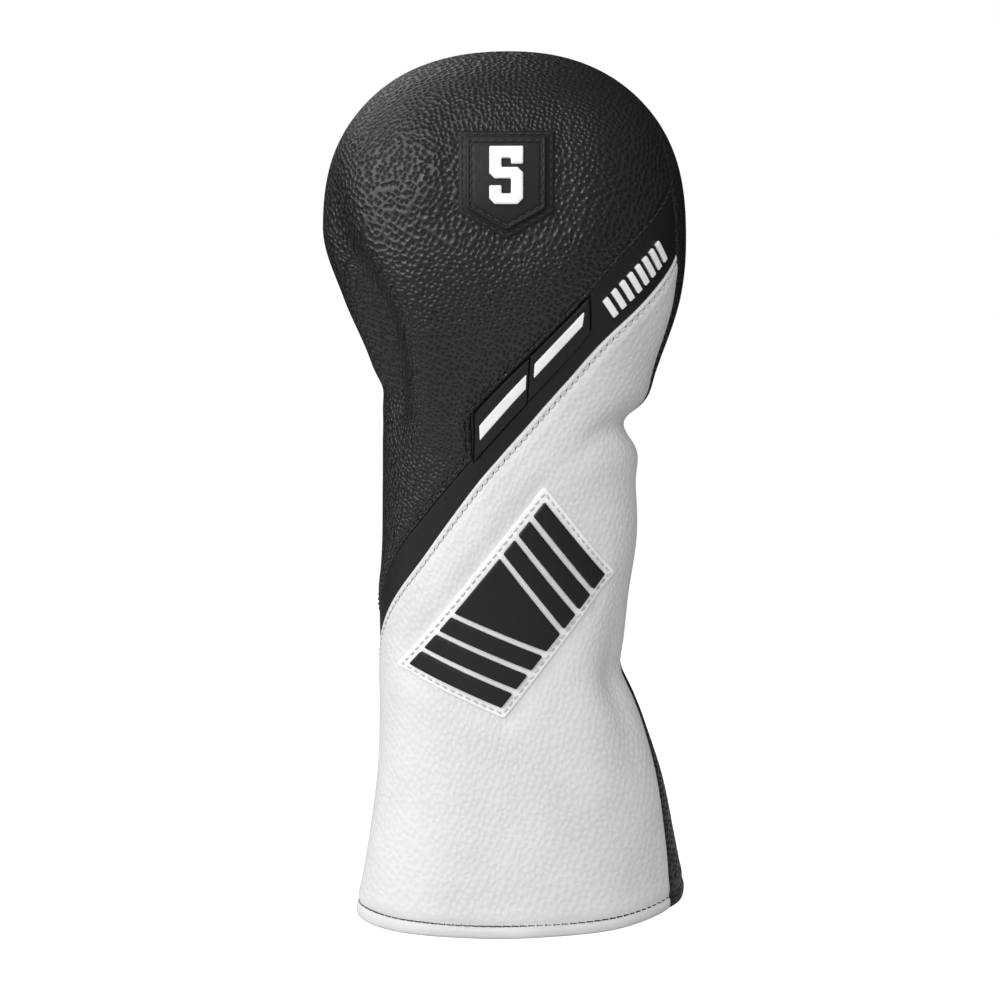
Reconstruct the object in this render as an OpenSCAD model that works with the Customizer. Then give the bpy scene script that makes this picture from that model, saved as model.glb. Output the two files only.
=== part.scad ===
// Soft leather headcover for a five wood: a padded crown, a gathered throat and a flared skirt.
// Millimetres, +Z up, front towards -Y, +X to the right of the front.
// The origin is the middle of the hem, at the level of the surface it stands on.

/* [Overall] */
// Height from the hem to the top of the crown
height = 276; // [240:310]
// Width across the crown
crown_w = 114; // [100:130]
// Depth of the crown, front to back
crown_d = 93; // [80:110]
// How square the cross-sections are, where 2 is an ellipse
squareness = 2.3; // [2:0.05:3]

/* [Layers] */
// Thickness of the outer leather
leather_t = 1.2; // [0.8:0.1:2]
// Thickness of the foam behind the crown's leather
foam_t = 3.6; // [2:0.2:6]
// Thickness of the plush lining
lining_t = 1.6; // [1:0.1:3]
// Height of the folded hem
hem_h = 9; // [6:14]
// Height of the elastic band inside the back of the throat
elastic_h = 24; // [15:35]

/* [Diagonal strip] */
// Height of the strip's narrow part, up the cover
strip_narrow = 9.3; // [6:0.1:13]
// Height of the strip's wide part, up the cover
strip_wide = 23; // [18:0.5:28]
// How far the strip runs under the leather on each side
strip_tuck = 3; // [2:0.5:4]
// Number of raised ticks at the strip's right end
tick_count = 8; // [4:10]

/* [Badge] */
// Half width of the stitched patch under the badge
patch_half_w = 14.5; // [12:0.5:18]
// Half width of the badge
badge_half_w = 11.9; // [9:0.1:15]
// Width of the numeral's strokes
numeral_stroke = 3.3; // [2:0.1:4]

/* [Emblem] */
// Length of the emblem patch along its upper side
emblem_l = 76; // [60:82]
// Width of the emblem patch across its slant
emblem_w = 36; // [26:40]
// Slant of the emblem above level
emblem_slant = 52; // [30:60]
// Number of bars on each side of the middle one
wing_bars = 3; // [1:4]

/* [Stitching] */
// Diameter of the thread
thread_d = 0.8; // [0.5:0.1:1.2]
// Distance from one stitch to the next
stitch_pitch = 3.6; // [2.5:0.1:5]
// Length of one stitch
stitch_l = 2.7; // [1.5:0.1:4]

/* [Hidden] */

// Scales of the sliders against the size that the profile below is written for.
scale_z = height / 276;
scale_x = crown_w / 114;
scale_y = crown_d / 93;

// Profile of the cover: height, then its reach to the left, right, front and back.
PROFILE = [
    [0, 48.5, 57.5, 42, 43.5],
    [20, 45.5, 54.5, 39.5, 40],
    [40, 42.5, 51, 37, 36.5],
    [60, 41, 45.5, 34.5, 33],
    [80, 41, 39, 32.5, 30.5],
    [100, 41, 40, 31.5, 29],
    [125, 39.7, 43, 31.5, 28.5],
    [150, 39.3, 42, 32.5, 29.5],
    [165, 39.3, 44, 34.5, 32],
    [180, 43, 48.8, 38, 37],
    [200, 51.3, 55, 43, 43.5],
    [222, 57.3, 56.5, 46, 47],
];
// Above the profile's last row a dome closes the crown, with a superellipse for its side view.
dome_z = PROFILE[len(PROFILE) - 1][0];
dome_h = 276 - dome_z;
dome_power = 2.3;
dome_run = 88;
pole_v = dome_z + dome_run;

// Angle of the side seams from the front, by height: negative on the left.
LEFT_SEAM = [[0, -92], [60, -97], [150, -99], [222, -98], [265, -94], [pole_v, -90]];
RIGHT_SEAM = [[0, 75], [20, 78], [40, 80], [60, 84], [100, 90], [150, 88], [165, 82], [180, 76],
    [193, 74], [207, 73], [222, 70], [240, 70], [265, 80], [pole_v, 90]];
// Line that the strip follows: angle from the front, then height.
STRIP_LINE = [[-110, 62], [-90, 80], [-75, 94.5], [-60, 109], [-45, 121.7], [-30, 134], [-15, 145.5],
    [0, 155.5], [15, 166.3], [30, 179.5], [45, 195.5], [60, 208.8], [75, 220], [90, 228]];
// Level of the seam across the back, where the throat is gathered.
back_seam_z = 120;
// Where the strip steps from its narrow part to its wide part, in degrees from the front.
jog_phi = -18;
jog_run = 0.6;

// Depths below the outer surface of the cover, where a negative depth stands proud of it.
strip_sink = 0.4;
flange_t = 0.5;
foam_top = leather_t + flange_t;
foam_low_z = 172;
lining_gap = 0.2;
elastic_t = 1.1;

// ---- Curves through tables -------------------------------------------------------------

function mix(a, b, t) = a + (b - a) * t;
function row_below(t, x, i = 0) = i >= len(t) - 2 || x < t[i + 1][0] ? i : row_below(t, x, i + 1);
function slope(t, k, c) =
    let (a = max(k - 1, 0), b = min(k + 1, len(t) - 1)) (t[b][c] - t[a][c]) / (t[b][0] - t[a][0]);
// Value in column c of a table at x, on a smooth curve through its rows; flat_end levels it off.
function smooth(t, x, c = 1, flat_end = false) =
    let (
        i = row_below(t, x),
        h = t[i + 1][0] - t[i][0],
        s = (x - t[i][0]) / h,
        m1 = flat_end && i == len(t) - 2 ? 0 : slope(t, i + 1, c)
    )
    (2 * s ^ 3 - 3 * s ^ 2 + 1) * t[i][c] + (s ^ 3 - 2 * s ^ 2 + s) * h * slope(t, i, c)
    + (3 * s ^ 2 - 2 * s ^ 3) * t[i + 1][c] + (s ^ 3 - s ^ 2) * h * m1;

// ---- The outer surface -----------------------------------------------------------------

// v runs up the cover: it is the height up to the dome, then the run over the dome to the pole.
function dome_angle(v) = 90 * (v - dome_z) / dome_run;
function height_at(v) =
    v <= dome_z ? v : dome_z + dome_h * sin(min(90, dome_angle(v))) ^ (2 / dome_power);
function v_at(z) =
    z <= dome_z ? z : dome_z + dome_run * asin(min(1, ((z - dome_z) / dome_h)) ^ (dome_power / 2)) / 90;
function shrink(v) = v <= dome_z ? 1 : max(0, cos(min(90, dome_angle(v)))) ^ (2 / dome_power);
function reach(v, c) = shrink(v) * smooth(PROFILE, min(v, dome_z), c, true);
// Point of the outer surface at an angle from the front and a run v.
function skin_point(phi, v) =
    let (
        s = sin(phi),
        c = cos(phi),
        a = reach(v, s < 0 ? 1 : 2),
        b = reach(v, c > 0 ? 3 : 4),
        r = v >= pole_v ? 0 : ((abs(s) / a) ^ squareness + (abs(c) / b) ^ squareness) ^ (-1 / squareness)
    )
    [scale_x * r * s, -scale_y * r * c, scale_z * height_at(v)];
function unit(p) = p / norm(p);
function outward(phi, v) =
    v > pole_v - 0.5
        ? [0, 0, 1]
        : unit(cross(skin_point(phi + 0.5, v) - skin_point(phi - 0.5, v),
            skin_point(phi, min(pole_v, v + 0.4)) - skin_point(phi, max(0, v - 0.4))));
// Point at a depth below the outer surface. Hem points stay level, so that the cover stands flat.
function layer(phi, v, depth) =
    let (n = outward(phi, v), flat = v < 0.01 ? unit([n.x, n.y, 0]) : n) skin_point(phi, v) - depth * flat;
// Angle on the front at which the surface is x to the right of the middle.
function phi_at(x, v) =
    let (
        a = scale_x * reach(v, x < 0 ? 1 : 2),
        y = scale_y * reach(v, 3) * (1 - min(1, abs(x) / a) ^ squareness) ^ (1 / squareness)
    )
    atan2(x, y);
// Point of the front at x and z, at a depth below the outer surface.
function front(x, z, depth) = let (v = v_at(z / scale_z)) layer(phi_at(x, v), v, depth);

// ---- Edges of the panels ---------------------------------------------------------------

// Angle at a fraction of the way across the front or the back, from seam to seam.
function seam_phi(v, u) = mix(smooth(LEFT_SEAM, v), smooth(RIGHT_SEAM, v), u);
function back_phi(v, u) = mix(smooth(RIGHT_SEAM, v), 360 + smooth(LEFT_SEAM, v), u);
function line_z(phi) = smooth(STRIP_LINE, phi);
// How far the strip reaches down below its line, which grows towards the right.
function line_drop(phi) = min(2.3, 0.037 * max(0, phi));
// Height of the strip over its line at an angle: narrow on the left and wide past the jog.
function strip_h(phi) =
    let (
        narrow = strip_narrow + 0.11 * max(0, jog_phi - phi),
        wide = strip_wide - 0.11 * max(0, phi - 40),
        t = min(1, max(0, (phi - jog_phi) / jog_run))
    )
    mix(narrow, wide, t);
// v of the strip from its lower edge at a rise of 0 to its upper edge at 1, in the column u of the front.
function edge_v(u, rise, v = 150, n = 5) =
    n == 0 ? v
    : let (p = seam_phi(v, u), z = line_z(p) - (1 - rise) * line_drop(p) + rise * strip_h(p))
        edge_v(u, rise, v_at(z), n - 1);
// Column of the front at the jog.
jog_v = line_z(jog_phi) + strip_narrow;
jog_u = (jog_phi - smooth(LEFT_SEAM, jog_v)) / (smooth(RIGHT_SEAM, jog_v) - smooth(LEFT_SEAM, jog_v));
jog_du = 0.004;
function columns(n) = [for (j = [0:n]) j / n];
// Even columns, with two more on each side of the jog so that the step stays sharp.
function jog_columns(n) = [
    for (j = [0:n]) if (j / n < jog_u - jog_du) j / n,
    jog_u - jog_du,
    jog_u + jog_du,
    for (j = [0:n]) if (j / n > jog_u + jog_du) j / n,
];

// ---- Solids made of an outer and an inner sheet of points --------------------------------

// rows x cols points on each sheet. wrap joins the last column to the first, and a pole closes the
// last row to its first point.
module slab(outer, inner, wrap = false, pole = false) {
    rows = len(outer);
    cols = len(outer[0]);
    top = pole ? rows - 1 : rows;
    count = top * cols + (pole ? 1 : 0);
    points = [
        for (sheet = [outer, inner]) each [
            for (r = [0:top - 1]) each sheet[r],
            if (pole) sheet[rows - 1][0],
        ],
    ];
    function at(s, r, c) = s * count + (pole && r == rows - 1 ? top * cols : r * cols + c % cols);
    function quad(a, b, c, d) = [
        if (a != b && b != c && a != c) [a, b, c],
        if (a != c && c != d && a != d) [a, c, d],
    ];
    last = wrap ? cols - 1 : cols - 2;
    faces = [
        for (r = [0:rows - 2], c = [0:last]) each [
            each quad(at(0, r, c), at(0, r + 1, c), at(0, r + 1, c + 1), at(0, r, c + 1)),
            each quad(at(1, r, c), at(1, r, c + 1), at(1, r + 1, c + 1), at(1, r + 1, c)),
        ],
        for (c = [0:last]) each [
            each quad(at(0, 0, c), at(0, 0, c + 1), at(1, 0, c + 1), at(1, 0, c)),
            if (!pole) each quad(
                at(0, rows - 1, c + 1), at(0, rows - 1, c), at(1, rows - 1, c), at(1, rows - 1, c + 1)),
        ],
        if (!wrap) for (r = [0:rows - 2]) each [
            each quad(at(0, r + 1, 0), at(0, r, 0), at(1, r, 0), at(1, r + 1, 0)),
            each quad(at(0, r, cols - 1), at(0, r + 1, cols - 1), at(1, r + 1, cols - 1), at(1, r, cols - 1)),
        ],
    ];
    polyhedron(points, faces, convexity = 8);
}

// A flat outline laid on the front, from depth d1 down to d2. It is filled towards its middle.
module front_patch(outline, d1, d2, rings = 3) {
    middle = [for (k = [0:1]) (min([for (p = outline) p[k]]) + max([for (p = outline) p[k]])) / 2];
    function ring(s, d) = [for (p = outline) let (q = mix(middle, p, s)) front(q.x, q.y, d)];
    slab([for (i = [0:rings]) ring(1 - i / rings, d1)], [for (i = [0:rings]) ring(1 - i / rings, d2)],
        wrap = true, pole = true);
}

// A ribbon with mitred corners along a flat path laid on the front.
module front_ribbon(path, half_w, d1, d2, steps = 3) {
    n = len(path);
    function dir(i) = unit(path[i + 1] - path[i]);
    function side(i) =
        let (
            a = dir(max(0, i - 1)),
            b = dir(min(n - 2, i)),
            na = [-a.y, a.x],
            nb = [-b.y, b.x]
        )
        (na + nb) / (1 + na * nb);
    // Each station is a point of the path and the direction across the ribbon there.
    stations = [
        for (i = [0:n - 2], k = [0:steps - 1])
            [mix(path[i], path[i + 1], k / steps), mix(side(i), side(i + 1), k / steps)],
        [path[n - 1], side(n - 1)],
    ];
    function sheet(d) = [
        for (w = [1, 0, -1]) [for (s = stations) let (q = s[0] + w * half_w * s[1]) front(q.x, q.y, d)],
    ];
    slab(sheet(d1), sheet(d2));
}

// Outline through corners, with its sides split so that it can follow the surface.
function split(corners, n) = [
    for (i = [0:len(corners) - 1], k = [0:n - 1]) mix(corners[i], corners[(i + 1) % len(corners)], k / n),
];
// Corners moved in towards a middle line by d on every side, for convex outlines.
function inset(corners, d) = [
    for (i = [0:len(corners) - 1])
        let (
            n = len(corners),
            a = unit(corners[i] - corners[(i + n - 1) % n]),
            b = unit(corners[(i + 1) % n] - corners[i]),
            na = [-a.y, a.x],
            nb = [-b.y, b.x]
        )
        corners[i] + d * (na + nb) / (1 + na * nb),
];
function loop_length(loop, i = 0) =
    i >= len(loop) ? 0 : norm(loop[(i + 1) % len(loop)] - loop[i]) + loop_length(loop, i + 1);

// Round stitches lying on a row of points, one between each even point and the next.
module stitches(points) {
    for (i = [0:2:len(points) - 2]) {
        a = points[i];
        b = points[i + 1];
        d = b - a;
        translate((a + b) / 2)
            rotate([0, acos(d.z / norm(d)), atan2(d.y, d.x)])
                cylinder(h = norm(d), d = thread_d, center = true, $fn = 24);
    }
}
// Pairs of fractions along a row: where each stitch starts and ends.
function stitch_ends(run) =
    let (n = max(1, round(run / stitch_pitch)), half = stitch_l / stitch_pitch / 2)
    [for (i = [0:n - 1], s = [-1, 1]) (i + 0.5 + s * half) / n];
// Point at a distance along a closed flat outline.
function along(loop, run, i = 0) =
    let (a = loop[i], b = loop[(i + 1) % len(loop)], step = norm(b - a))
    run <= step || i == len(loop) - 1 ? mix(a, b, min(1, run / step)) : along(loop, run - step, i + 1);
stitch_depth = -0.1;

// ---- Leather panels ----------------------------------------------------------------------

skin_rows = 16;
skin_cols = 26;

// Front of the crown, from the strip's upper edge to the pole.
module crown_panel() {
    cols = jog_columns(skin_cols);
    function v(u, t) = mix(edge_v(u, 1), pole_v, t);
    function sheet(d) = [
        for (r = [0:skin_rows])
            [for (u = cols) let (w = v(u, r / skin_rows)) layer(seam_phi(w, u), w, d)],
    ];
    color([0.07, 0.07, 0.08]) slab(sheet(0), sheet(leather_t), pole = true);
}

// The hem is folded double, so the panel is twice as thick there.
function skirt_t(v) = v < hem_h ? 2 * leather_t : leather_t;
function skirt_rows(top) =
    [0, hem_h - 0.5, hem_h, for (t = [1:skin_rows - 3]) mix(hem_h, top, t / (skin_rows - 3))];

module front_skirt_panel() {
    cols = columns(skin_cols);
    levels = [for (u = cols) skirt_rows(edge_v(u, 0))];
    function row(r, out) = [
        for (j = [0:skin_cols])
            let (v = levels[j][r]) layer(seam_phi(v, cols[j]), v, out ? 0 : skirt_t(v)),
    ];
    function sheet(out) = [for (r = [0:skin_rows - 1]) row(r, out)];
    color([0.92, 0.92, 0.92]) slab(sheet(true), sheet(false));
}

module back_upper_panel() {
    function v(t) = mix(back_seam_z, pole_v, t);
    function sheet(d) = [
        for (r = [0:skin_rows])
            [for (u = columns(skin_cols)) let (w = v(r / skin_rows)) layer(back_phi(w, u), w, d)],
    ];
    color([0.07, 0.07, 0.08]) slab(sheet(0), sheet(leather_t), pole = true);
}

module back_skirt_panel() {
    rows = skirt_rows(back_seam_z);
    function sheet(out) = [
        for (w = rows) [for (u = columns(skin_cols)) layer(back_phi(w, u), w, out ? 0 : skirt_t(w))],
    ];
    color([0.07, 0.07, 0.08]) slab(sheet(true), sheet(false));
}

// ---- Padding, lining and elastic -----------------------------------------------------------

pad_rows = 10;
pad_cols = 14;
// The foam feathers out to a thin edge at its foot.
function foam_bottom(v) = foam_top + mix(0.4, foam_t, min(1, (v - foam_low_z) / 14));

// Foam of the front or the back of the crown. It stops just short of the side seams.
module foam(back) {
    function phi(v, u) = back ? back_phi(v, mix(0.03, 0.97, u)) : seam_phi(v, mix(0.03, 0.97, u));
    levels = [for (r = [0:pad_rows]) mix(foam_low_z, pole_v - 6, r / pad_rows)];
    outer = [for (v = levels) [for (u = columns(pad_cols)) layer(phi(v, u), v, foam_top)]];
    inner = [for (v = levels) [for (u = columns(pad_cols)) layer(phi(v, u), v, foam_bottom(v))]];
    slab(outer, inner);
}

module crown_padding()
    color([0.75, 0.75, 0.7]) foam(back = false);
module back_padding()
    color([0.75, 0.75, 0.7]) foam(back = true);

lining_cols = 36;
lining_split_z = 160;
elastic_d = leather_t + lining_gap;
// Depth of the lining's outer face: behind the foam in the crown, and behind the elastic in the throat.
function lining_d(v) =
    v > 176 ? foam_top + foam_t + lining_gap
    : v > 150 ? mix(elastic_d + elastic_t + lining_gap, foam_top + foam_t + lining_gap, (v - 150) / 26)
    : v > 60 ? elastic_d + elastic_t + lining_gap
    : v > 30 ? mix(2 * leather_t + lining_gap, elastic_d + elastic_t + lining_gap, (v - 30) / 30)
    : 2 * leather_t + lining_gap;
function lining_ring(v, d) = [for (j = [0:lining_cols - 1]) layer(360 * j / lining_cols, v, d)];

// Tube of lining through rings at the given levels, closed over the top where pole is true.
module lining(levels, pole) {
    outer = [for (v = levels) lining_ring(v, lining_d(v))];
    inner = [for (v = levels) lining_ring(v, lining_d(v) + lining_t)];
    slab(outer, inner, wrap = true, pole = pole);
}

module pocket_lining()
    color([0.12, 0.12, 0.13])
        lining([for (r = [0:pad_rows]) mix(lining_split_z, pole_v, r / pad_rows)], true);
module skirt_lining()
    color([0.12, 0.12, 0.13])
        lining([3, 15, 30, 45, 60, 80, 100, 125, 150, lining_split_z], false);

module throat_elastic() {
    function sheet(d) = [
        for (r = [0:4])
            let (w = back_seam_z + elastic_h * (r / 4 - 0.5))
                [for (u = columns(16)) layer(back_phi(w, mix(0.06, 0.94, u)), w, d)],
    ];
    color([0.2, 0.2, 0.2]) slab(sheet(elastic_d), sheet(elastic_d + elastic_t));
}

// ---- Diagonal strip and what is on it ----------------------------------------------------------

module diagonal_strip() {
    cols = jog_columns(30);
    // Rises over the strip line, with the depth of the strip's face there.
    lines = [
        [-strip_tuck, 0, leather_t],
        [-0.1, 0, leather_t],
        [0, 0, strip_sink],
        [0, 0.33, strip_sink],
        [0, 0.67, strip_sink],
        [0, 1, strip_sink],
        [0.1, 1, leather_t],
        [strip_tuck, 1, leather_t],
    ];
    function v(u, l) = edge_v(u, l[1]) + l[0];
    function sheet(out) = [
        for (l = lines)
            [for (u = cols) let (w = v(u, l)) layer(seam_phi(w, u), w, out ? l[2] : leather_t + flange_t)],
    ];
    color([0.16, 0.16, 0.17]) slab(sheet(true), sheet(false));
}

// Point at an angle and a rise over the strip line.
function on_strip(p, d) = layer(p.x, v_at(line_z(p.x) + p.y), d);
frame_low = 7.9;
frame_high = 22.2;
frame_rail = 2.6;
frame_proud = -0.5;
// Angles of each window frame's corners: lower left, lower right, upper right, upper left.
FRAMES = [[-16.7, 10.75, 10.75, -15.3], [11.25, 34.7, 32.5, 11.25]];
// Left and right end of each window's bar, and how much higher the bar lies.
BARS = [[-13.4, 9.9, 0], [13.3, 31.4, 0.65]];
bar_h = 4.7;
// Height of the middle of the bars over the strip line.
function bar_mid(phi) = 14.6 + 0.035 * (phi + 16);

// A closed rail round a window of the strip: corners as angle and rise.
module strip_rail(f, b) {
    corners = [[f[0], frame_low], [f[1], frame_low], [f[2], frame_high], [f[3], frame_high]];
    holes = [[b[0] - 0.3, frame_low + frame_rail], [b[1] + 0.3, frame_low + frame_rail],
        [b[1] + 0.3, frame_high - frame_rail], [b[0] - 0.3, frame_high - frame_rail]];
    function sheet(d) = [for (loop = [corners, holes]) [for (p = split(loop, 6)) on_strip(p, d)]];
    slab(sheet(frame_proud), sheet(strip_sink), wrap = true);
}

module window_frame()
    for (k = [0:1])
        color([0.13, 0.13, 0.14]) strip_rail(FRAMES[k], BARS[k]);

// A bar follows the strip line between two angles.
module window_bar(b) {
    function sheet(d) = [
        for (s = [-0.5, 0.5])
            [for (t = columns(6))
                let (p = mix(b[0], b[1], t)) on_strip([p, bar_mid(p) + b[2] + s * bar_h], d)],
    ];
    slab(sheet(frame_proud), sheet(strip_sink));
}
module window_bar_lower()
    color("white") window_bar(BARS[0]);
module window_bar_upper()
    color("white") window_bar(BARS[1]);

tick_first = 42.8;
tick_step = 2.6;
tick_w = 1.5;
tick_lean = -5;
// Feet and tops of the ticks over the strip line, at the first and at the last tick.
tick_feet = [4.4, 4];
tick_tops = [15.1, 14.1];
module strip_ticks() {
    function edge(p, t, d) =
        let (foot = mix(tick_feet[0], tick_feet[1], t), top = mix(tick_tops[0], tick_tops[1], t))
        [for (s = [0, 0.5, 1]) on_strip([p + tick_lean * s, mix(foot, top, s)], d)];
    for (i = [0:tick_count - 1]) {
        p = tick_first + i * tick_step;
        t = i / (tick_count - 1);
        color("white")
            slab([edge(p + tick_w, t, frame_proud), edge(p, t, frame_proud)],
                [edge(p + tick_w, t, strip_sink), edge(p, t, strip_sink)]);
    }
}

// ---- Number badge ----------------------------------------------------------------------------------

badge_x = 0.3;
// Shield outline from its half width, top, shoulder and point.
function shield(w, top, shoulder, point) = [
    [badge_x - w, top],
    [badge_x - w, shoulder],
    [badge_x, point],
    [badge_x + w, shoulder],
    [badge_x + w, top],
];
patch_outline = shield(patch_half_w, 255.2, 231, 223);
badge_outline = shield(badge_half_w, 253.3, 232.4, 225.8);
patch_t = 0.8;
badge_t = 1.4;
numeral_t = 2.6;

module number_patch()
    color([0.09, 0.09, 0.1]) front_patch(split(patch_outline, 6), -patch_t, 0);
module number_badge()
    color([0.12, 0.12, 0.13]) front_patch(split(badge_outline, 6), -patch_t - badge_t, -patch_t);

// Block numeral five, drawn as one ribbon from its top right round to its lower left.
numeral_low = 233.6;
numeral_high = 250.2;
numeral_half_w = 4.9;
module badge_numeral() {
    h = numeral_stroke / 2;
    left = badge_x - numeral_half_w + h;
    right = badge_x + numeral_half_w - h;
    waist = numeral_low + 9.4;
    path = [[right, numeral_high - 2 * h - 1.2], [right, numeral_high - h], [left, numeral_high - h],
        [left, waist - h], [right, waist - h], [right, numeral_low + h], [left, numeral_low + h],
        [left, numeral_low + 2 * h + 1.4]];
    color("white") front_ribbon(path, h, -patch_t - numeral_t, -patch_t - badge_t, steps = 2);
}

// ---- Emblem of plain slanted bars --------------------------------------------------------------------

emblem_x = 3.1;
emblem_z = 103.5;
emblem_t = 0.8;
mark_t = 1.6;
mark_gap = 1.9;
mark_border = 3;
// Half width of the middle bar along its lower side.
middle_half = 3.4;
// How far an end of the emblem leans out for each millimetre up from its lower side.
emblem_lean = 0.267;
emblem_short = emblem_l - 2 * emblem_lean * emblem_w;
// From the emblem's own length and width to x and z on the front.
function emblem_at(p) = [
    emblem_x + p.x * cos(emblem_slant) - p.y * sin(emblem_slant),
    emblem_z + p.x * sin(emblem_slant) + p.y * cos(emblem_slant),
];
// The patch is longer along its upper side than along its lower side.
emblem_corners = [
    [-emblem_short / 2, -emblem_w / 2],
    [emblem_short / 2, -emblem_w / 2],
    [emblem_l / 2, emblem_w / 2],
    [-emblem_l / 2, emblem_w / 2],
];
module emblem_backing()
    color([0.95, 0.95, 0.95])
        front_patch([for (p = split(emblem_corners, 9)) emblem_at(p)], -emblem_t, 0, rings = 5);

mark_half = emblem_w / 2 - mark_border;
mark_end = emblem_short / 2 + emblem_lean * mark_border - mark_border / cos(atan(emblem_lean));
mark_run = (mark_end - middle_half) / wing_bars - mark_gap;
module emblem_bars() {
    // A bar's sides start at a and b on the lower side of the emblem and lean by s and t on the way up.
    function sheet(a, s, b, t, d) = [
        for (f = [1, 0.75, 0.5, 0.25, 0]) [
            for (k = [0:8])
                let (
                    rise = mark_half * k / 4,
                    low = a + s * emblem_lean * rise,
                    high = b + t * emblem_lean * rise,
                    p = emblem_at([mix(low, high, f), rise - mark_half])
                )
                    front(p.x, p.y, d),
        ],
    ];
    module bar(a, s, b, t)
        color([0.08, 0.08, 0.09]) slab(sheet(a, s, b, t, -emblem_t - mark_t), sheet(a, s, b, t, -emblem_t));
    bar(-middle_half, -1, middle_half, 1);
    for (i = [0:wing_bars - 1]) {
        near = middle_half + mark_gap + i * (mark_run + mark_gap);
        bar(near, 1, near + mark_run, 1);
        bar(-near - mark_run, -1, -near, -1);
    }
}

// ---- Stitching -----------------------------------------------------------------------------------------

// Lengths of the stitched edges, which set how many stitches there are.
strip_edge_run = 150;
front_hem_run = 166;
back_hem_run = 150;
back_seam_run = 104;
edge_inset = 2.4;
// Stitches along an edge of the strip, a little outside it.
module strip_edge_stitches(rise, inset) {
    stitches([
        for (t = stitch_ends(strip_edge_run))
            let (u = mix(0.02, 0.97, t), v = edge_v(u, rise) + inset) layer(seam_phi(v, u), v, stitch_depth),
    ]);
}
module crown_edge_stitching()
    color([0.15, 0.15, 0.16]) strip_edge_stitches(1, edge_inset);
module skirt_edge_stitching()
    color([0.72, 0.72, 0.72]) strip_edge_stitches(0, -edge_inset);
// Stitches round a flat outline on the front, standing on a face at depth d.
module outline_stitches(loop, d) {
    run = loop_length(loop);
    stitches([for (t = stitch_ends(run)) let (p = along(loop, t * run)) front(p.x, p.y, d + stitch_depth)]);
}
module patch_stitching()
    color([0.15, 0.15, 0.16]) outline_stitches(inset(patch_outline, 1.2), -patch_t);
module badge_stitching()
    color([0.15, 0.15, 0.16]) outline_stitches(inset(badge_outline, 1.3), -patch_t - badge_t);
module emblem_stitching()
    color([0.8, 0.8, 0.8])
        outline_stitches([for (p = inset(emblem_corners, 1.3)) emblem_at(p)], -emblem_t);
hem_stitch_z = 4.2;
module front_hem_stitching()
    color([0.2, 0.2, 0.2])
        stitches([
            for (u = stitch_ends(front_hem_run)) layer(seam_phi(hem_stitch_z, u), hem_stitch_z, stitch_depth),
        ]);
module back_hem_stitching()
    color([0.2, 0.2, 0.2])
        stitches([
            for (u = stitch_ends(back_hem_run)) layer(back_phi(hem_stitch_z, u), hem_stitch_z, stitch_depth),
        ]);
module back_seam_stitching()
    color([0.15, 0.15, 0.16])
        stitches([
            for (t = stitch_ends(back_seam_run))
                let (v = back_seam_z - edge_inset) layer(back_phi(v, mix(0.02, 0.98, t)), v, stitch_depth),
        ]);

crown_panel();
front_skirt_panel();
back_upper_panel();
back_skirt_panel();
crown_padding();
back_padding();
pocket_lining();
skirt_lining();
throat_elastic();
diagonal_strip();
window_frame();
window_bar_lower();
window_bar_upper();
strip_ticks();
number_patch();
number_badge();
badge_numeral();
emblem_backing();
emblem_bars();
crown_edge_stitching();
skirt_edge_stitching();
patch_stitching();
badge_stitching();
emblem_stitching();
front_hem_stitching();
back_hem_stitching();
back_seam_stitching();
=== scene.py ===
"""Looks of a leather headcover for a fairway wood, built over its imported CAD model.

Lengths are millimetres of the drawn cover, which UNIT turns into metres of the frame. A place on the
cover is an angle phi, in degrees from the front and positive to the right, and a run v up the cover,
which is the height as far as the dome and then the run over the dome to its pole.
"""
import math

import bpy
import numpy as np
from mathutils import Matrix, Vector, geometry


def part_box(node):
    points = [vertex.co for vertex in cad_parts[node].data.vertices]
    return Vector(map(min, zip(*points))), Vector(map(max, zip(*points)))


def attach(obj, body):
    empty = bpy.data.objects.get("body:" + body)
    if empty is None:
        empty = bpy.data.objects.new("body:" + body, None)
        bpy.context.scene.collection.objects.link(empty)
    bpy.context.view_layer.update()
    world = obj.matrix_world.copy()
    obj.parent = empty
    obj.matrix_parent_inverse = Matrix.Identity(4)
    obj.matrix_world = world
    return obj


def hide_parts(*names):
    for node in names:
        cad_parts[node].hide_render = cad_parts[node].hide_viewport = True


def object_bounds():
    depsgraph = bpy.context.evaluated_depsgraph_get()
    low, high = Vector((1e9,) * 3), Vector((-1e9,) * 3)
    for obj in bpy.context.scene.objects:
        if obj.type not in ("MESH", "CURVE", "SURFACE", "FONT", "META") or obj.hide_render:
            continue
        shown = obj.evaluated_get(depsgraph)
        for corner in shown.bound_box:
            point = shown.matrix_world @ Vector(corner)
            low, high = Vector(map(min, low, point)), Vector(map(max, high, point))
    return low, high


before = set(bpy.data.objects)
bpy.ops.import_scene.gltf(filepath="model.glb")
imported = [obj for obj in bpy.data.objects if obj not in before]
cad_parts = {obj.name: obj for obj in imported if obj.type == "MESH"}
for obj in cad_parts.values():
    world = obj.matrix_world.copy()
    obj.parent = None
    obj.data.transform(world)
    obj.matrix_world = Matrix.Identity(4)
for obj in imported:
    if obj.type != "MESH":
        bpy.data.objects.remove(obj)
CAD_LOW, CAD_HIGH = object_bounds()
DRAWN_HEIGHT = 276
UNIT = (CAD_HIGH.z - CAD_LOW.z) / DRAWN_HEIGHT


def node_box(name):
    """Lowest and highest corners of a CAD node, in drawn millimetres."""
    return [np.array(corner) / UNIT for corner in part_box(name)]


# ---- Sizes of the cover, in drawn millimetres ----

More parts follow.
